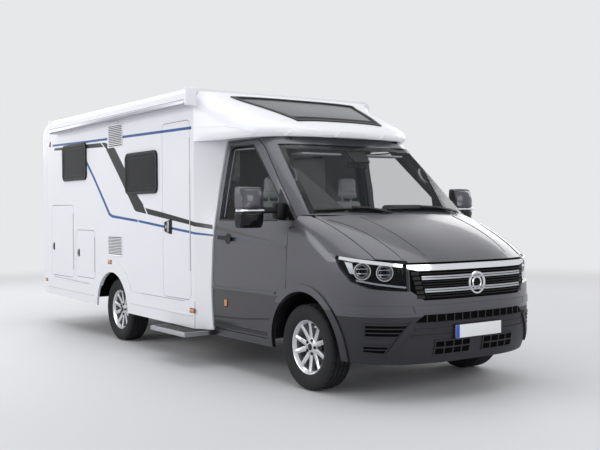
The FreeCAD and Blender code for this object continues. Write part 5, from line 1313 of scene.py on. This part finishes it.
def place_of_head(point):
    """Draw the headrest in towards its top."""
    share = (point.z - HEAD_LOW) / (HEAD_HIGH - HEAD_LOW)
    return narrowed(point, 1.0 - 0.22 * share)


ACROSS, UP, AHEAD = 1, 2, 0
pads = {
    "base": (pad((-1.270, -0.795), (-0.690, -0.210), (0.815, 0.915), lambda point: point.copy(),
                 [(ACROSS, -0.60), (ACROSS, -0.30), (AHEAD, front_axle - 0.90)], UP, 0.020), 0.75),
    "back": (pad((-1.300, -1.215), (-0.685, -0.215), (BACK_LOW, BACK_HIGH), place_of_back,
                 [(ACROSS, -0.60), (ACROSS, -0.30), (UP, 1.36), (UP, 1.18)], AHEAD, 0.018), 0.75),
    "head": (pad((-1.292, -1.213), (-0.575, -0.325), (HEAD_LOW, HEAD_HIGH), place_of_head,
                 [(UP, 1.66)], AHEAD, 0.012), 0.85),
}
for side_name, side in SIDES:
    for part, (mesh, fill) in pads.items():
        own = mesh.copy() if side < 0 else mirrored_copy(mesh)
        piece = settle(f"seat_{part}_{side_name}", own, "body", "cushion", "seat_fabric")
        if part == "base" and side < 0:
            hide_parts("seats")

# %% Seat frames, stalks and armrests
mesh = bmesh.new()
for x, y, z, edge in (((-1.260, -0.900), (-0.640, -0.260), (0.545, 0.740), 0.020),
                      ((-1.275, -0.800), (-0.700, -0.200), (0.772, 0.806), 0.014),
                      ((-1.318, -1.302), (-0.640, -0.260), (0.900, 1.540), 0.007)):
    block(mesh, x, y, z, edge, steps=3)
pole(mesh, from_axle(-1.08, SEAT_MIDDLE, 0.735), from_axle(-1.08, SEAT_MIDDLE, 0.775), 0.15,
     sides=48)
for y in (SEAT_MIDDLE - 0.055, SEAT_MIDDLE + 0.055):
    pole(mesh, from_axle(-1.253, y, 1.555), from_axle(-1.253, y, 1.640), 0.006, sides=16, index=1)
for y, inward in ((-0.726, 0.018), (-0.174, -0.018)):
    pole(mesh, from_axle(-1.24, y + inward, 1.040), from_axle(-1.24, y, 1.040), 0.016)
    block(mesh, (-1.262, -0.930), (y - 0.022, y + 0.022), (1.018, 1.058), edge=0.018, steps=4,
          index=2)
both_sides(mesh)
settle("seat_frames", mesh, "body", "dark_plastic", "dash_plastic", "satin_silver", "seat_fabric")
print("seats done")

# %% [markdown]
# ## Wheel housings
# Behind the body skirts the wheel turns in a dark plastic tub. It is a ring round the axle,
# cut off level with the bisect operator, with an inner wall that closes it towards the middle.

# %% Wheel housings
HOUSING_WALL = 0.006
HOUSINGS = (("rear", 0.445, 1.085, 0.700, 0.115), ("front", 0.430, 0.930, 0.545, 0.200))
for end_name, radius, outer, inner, above in HOUSINGS:
    mesh = bmesh.new()
    for side in (-1, 1):
        back = inner - HOUSING_WALL
        ring_shape(mesh, [(radius, side * outer), (radius, side * inner), (0.10, side * inner),
                          (0.10, side * back), (radius + HOUSING_WALL, side * back),
                          (radius + HOUSING_WALL, side * outer)],
                   (wheel_place[end_name].x, 0, wheel_height), steps=72)
    bmesh.ops.bisect_plane(mesh, geom=everything(mesh), plane_no=(0, 0, 1), clear_inner=True,
                           plane_co=(0, 0, wheel_height + above))
    bmesh.ops.holes_fill(mesh, edges=[line for line in mesh.edges if line.is_boundary], sides=0)
    settle(f"{end_name}_wheel_housings", mesh, "body", "black_trim", "black_and_painted_shade")
print("wheel housings done")

# %% [markdown]
# ## The rear
# The photo doesn't show it, so it is kept to what every such van carries: lamps of four
# fields in a frame, a high brake lamp, reflectors, grips and a blank plate.

# %% Rear lamps
low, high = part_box("tail_lamps")
inner = min(abs(vert.co.y) for vert in cad["tail_lamps"].data.vertices)
rear = ("rear", skin_of("rear_wall", "rear_bumper", "tail_lamps", "side_wall_left",
                        "side_wall_right"))
mesh = bmesh.new()
for start, end, index in ((0.03, 0.30, 0), (0.33, 0.48, 2), (0.51, 0.66, 1), (0.69, 0.97, 0)):
    lay(mesh, rect(inner + 0.010, high.y - 0.010, low.z + (high.z - low.z) * start,
                   low.z + (high.z - low.z) * end), rear, 0.005, proud=0.001, index=index)
lay_strip(mesh, rect(inner + 0.003, high.y - 0.004, low.z + 0.003, high.z - 0.003), 0.009, rear,
          0.007, proud=0.001, closed=True, index=3)
both_sides(mesh)
lay(mesh, rect(-0.20, 0.20, 2.430, 2.455), rear, 0.008)
lay_strip(mesh, rect(-0.205, 0.205, 2.425, 2.460), 0.007, rear, 0.010, closed=True, index=3)
for side in (-1, 1):
    lay(mesh, rect(side * 0.72, side * 0.84, 0.490, 0.525), rear, 0.006)
settle("rear_lamp_fields", mesh, "body", "red_lamp", "red_lens", "amber_lens", "white_lens",
       "black_plastic")

# %% Rear plate and trim
mesh = bmesh.new()
for left, right, low, high, thick, index in (
        (-0.262, 0.262, 0.702, 0.816, 0.004, 1), (-0.256, 0.256, 0.708, 0.810, 0.006, 0),
        (0.214, 0.256, 0.708, 0.810, 0.007, 2), (-0.18, 0.18, 0.830, 0.850, 0.020, 1)):
    lay(mesh, rect(left, right, low, high), rear, thick, index=index)
settle("rear_plate", mesh, "body", "body_white", "plate_white", "black_plastic", "plate_blue")
mesh = bmesh.new()
for height in (0.955, 1.35, 2.06):
    lay_strip(mesh, [(-0.80, height), (0.80, height)], 0.012, rear, 0.004, cell=0.1)
lay_strip(mesh, [(-0.60, 0.435), (0.60, 0.435)], 0.030, rear, 0.006, cell=0.1, index=1)
GRIP_ENDS = (1.62, 1.78)
for y in (-0.90, 0.90):
    lay_strip(mesh, [(y, height) for height in GRIP_ENDS], 0.024, rear, 0.012, proud=0.018,
              index=1)
    for height in GRIP_ENDS:
        lay(mesh, rect_at(y, height, 0.032, 0.028), rear, 0.024, index=1)
settle("rear_trim", mesh, "body", "white_plastic", "white_moulding", "black_plastic")

# %% Inside the windscreen: sensor box, mirror, visors and grab handles
GRAB_HANDLE = ((-0.500, 0.776, 1.872), (-0.496, 0.748, 1.864), (-0.470, 0.738, 1.820),
               (-0.430, 0.742, 1.765), (-0.415, 0.776, 1.742))
mesh = bmesh.new()
lay(mesh, [(-0.120, 2.052), (-0.085, 1.930), (0.085, 1.930), (0.120, 2.052)], screen, 0.012,
    proud=-0.030)
block(mesh, (-0.530, -0.505), (-0.115, 0.115), (1.865, 1.925), edge=0.011, steps=3)
for side in (-1, 1):
    block(mesh, (-0.720, -0.560), (side * 0.15, side * 0.60), (1.985, 2.003), edge=0.008,
          steps=3, index=1)
settle("inside_top", mesh, "body", "black_trim", "black_plastic", "seat_fabric")
mesh = bmesh.new()
bent_bar(mesh, [from_axle(*place) for place in GRAB_HANDLE], 0.011)
both_sides(mesh)
settle("pillar_grips", mesh, "body", "lining", "seat_fabric")

# %% Top of the dashboard, with its air slots
mesh = bmesh.new()
block(mesh, (-0.480, 0.010), (-0.770, 0.770), (1.400, 1.466), edge=0.028, steps=4)
block(mesh, (-0.470, -0.260), (0.230, 0.610), (1.430, 1.525), edge=0.040, steps=5)
for middle in (-0.56, 0.0, 0.56):
    for number in range(7):
        y = middle + (number - 3) * 0.026
        block(mesh, (-0.130, -0.040), (y - 0.005, y + 0.005), (1.462, 1.470), edge=0.002, steps=1)
settle("dashboard_top", mesh, "body", "dark_plastic", "dash_plastic")
print("rear and inside done")

# %% [markdown]
# ## Floor, light and camera
# A pale floor carries the van's shadow and fades into the backdrop far out, large soft lamps
# light the van evenly, and the camera stands where the photograph was taken: its place, turn
# and lens came from fitting known points of the van.

# %% Floor
STUDIO_HALF = 40.0
FADE_START, FADE_END = 5.5, 15.0
BACKDROP = (0.80, 0.805, 0.82, 1.0)
mesh = bmesh.new()
bmesh.ops.create_grid(mesh, x_segments=2, y_segments=2, size=STUDIO_HALF)
floor_data = bpy.data.meshes.new("studio_floor")
mesh.to_mesh(floor_data)
mesh.free()
floor = bpy.data.objects.new("studio_floor", floor_data)
bpy.context.scene.collection.objects.link(floor)
tree = finish("pale_floor", (214, 214, 216), 0.7, grain=0.6, spread=0.01)
reach = node(tree, "VectorMath", node(tree, "TexCoord").outputs["Object"], operation="LENGTH")
share = node(tree, "MapRange", interpolation_type="SMOOTHSTEP", Value=reach.outputs["Value"],
             From_Min=FADE_START, From_Max=FADE_END)
mixed = node(tree, "MixShader", share.outputs["Result"],
             tree.nodes["Principled BSDF"].outputs[0],
             node(tree, "Emission", Color=BACKDROP).outputs[0])
tree.links.new(mixed.outputs[0], tree.nodes["Material Output"].inputs["Surface"])
floor_data.materials.append(made_finishes["pale_floor"])
floor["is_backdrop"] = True


# %% Lamps
def soft_lamp(name, place, aim, size, power):
    """A large rectangular lamp that looks at a point."""
    light = bpy.data.lights.new(name, "AREA")
    light.shape = "RECTANGLE"
    light.size, light.size_y = size
    light.energy = power
    lamp = bpy.data.objects.new(name, light)
    lamp.location = place
    lamp.rotation_euler = (Vector(aim) - Vector(place)).to_track_quat("-Z", "Y").to_euler()
    bpy.context.scene.collection.objects.link(lamp)
    lamp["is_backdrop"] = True


soft_lamp("over", (0.5, -1.0, 8.5), (0.0, 0.0, 1.0), (11.0, 7.0), 370)
soft_lamp("side", (-2.0, -10.0, 4.5), (-0.5, 0.0, 1.3), (11.0, 4.5), 410)
soft_lamp("nose", (11.0, -1.0, 4.0), (2.5, 0.0, 1.2), (7.0, 4.0), 240)
soft_lamp("far", (-1.0, 10.0, 5.0), (0.0, 0.0, 1.4), (10.0, 4.0), 260)
soft_lamp("tail", (-10.0, 0.0, 4.5), (-3.0, 0.0, 1.4), (6.0, 4.0), 220)
print("lamps done")

# %% World: a soft glow for the light, an even backdrop for what the camera and glass see
GLOW = (0.88, 0.9, 0.93, 1.0)
world = bpy.data.worlds.new("studio")
bpy.context.scene.world = world
world.use_nodes = True
sky = world.node_tree
glow = sky.nodes["Background"]
glow.inputs["Color"].default_value = GLOW
glow.inputs["Strength"].default_value = 0.42
rays = node(sky, "LightPath").outputs
seen = calc(sky, "MAXIMUM", rays["Is Camera Ray"], rays["Is Transmission Ray"])
seen = calc(sky, "MAXIMUM", seen, rays["Is Glossy Ray"])
choice = node(sky, "MixShader", seen, glow.outputs[0],
              node(sky, "Background", Color=BACKDROP).outputs[0])
sky.links.new(choice.outputs[0], sky.nodes["World Output"].inputs["Surface"])
bpy.context.scene.view_settings.view_transform = "Standard"

# %% Camera
CAMERA_FORWARD = Vector((-0.81619131, 0.57754268, -0.01661911))
CAMERA_RIGHT = Vector((0.57771211, 0.81620183, -0.00795532))
CAMERA_UP = Vector((-0.00897001, 0.01609412, 0.99983024))
camera_data = bpy.data.cameras.new("camera")
camera_data.sensor_width = 36.0
camera_data.lens = 52.966
camera = bpy.data.objects.new("camera", camera_data)
turn = Matrix((CAMERA_RIGHT, CAMERA_UP, -CAMERA_FORWARD)).transposed()
camera.matrix_world = Matrix.Translation(from_axle(5.8812, -5.1871, 1.4813)) @ turn.to_4x4()
bpy.context.scene.collection.objects.link(camera)
bpy.context.scene.camera = camera

# %% Sizes kept for comparison
low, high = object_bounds()
print("CAD box", [round(v, 3) for v in (cad_high - cad_low)],
      "visual box", [round(v, 3) for v in (high - low)])
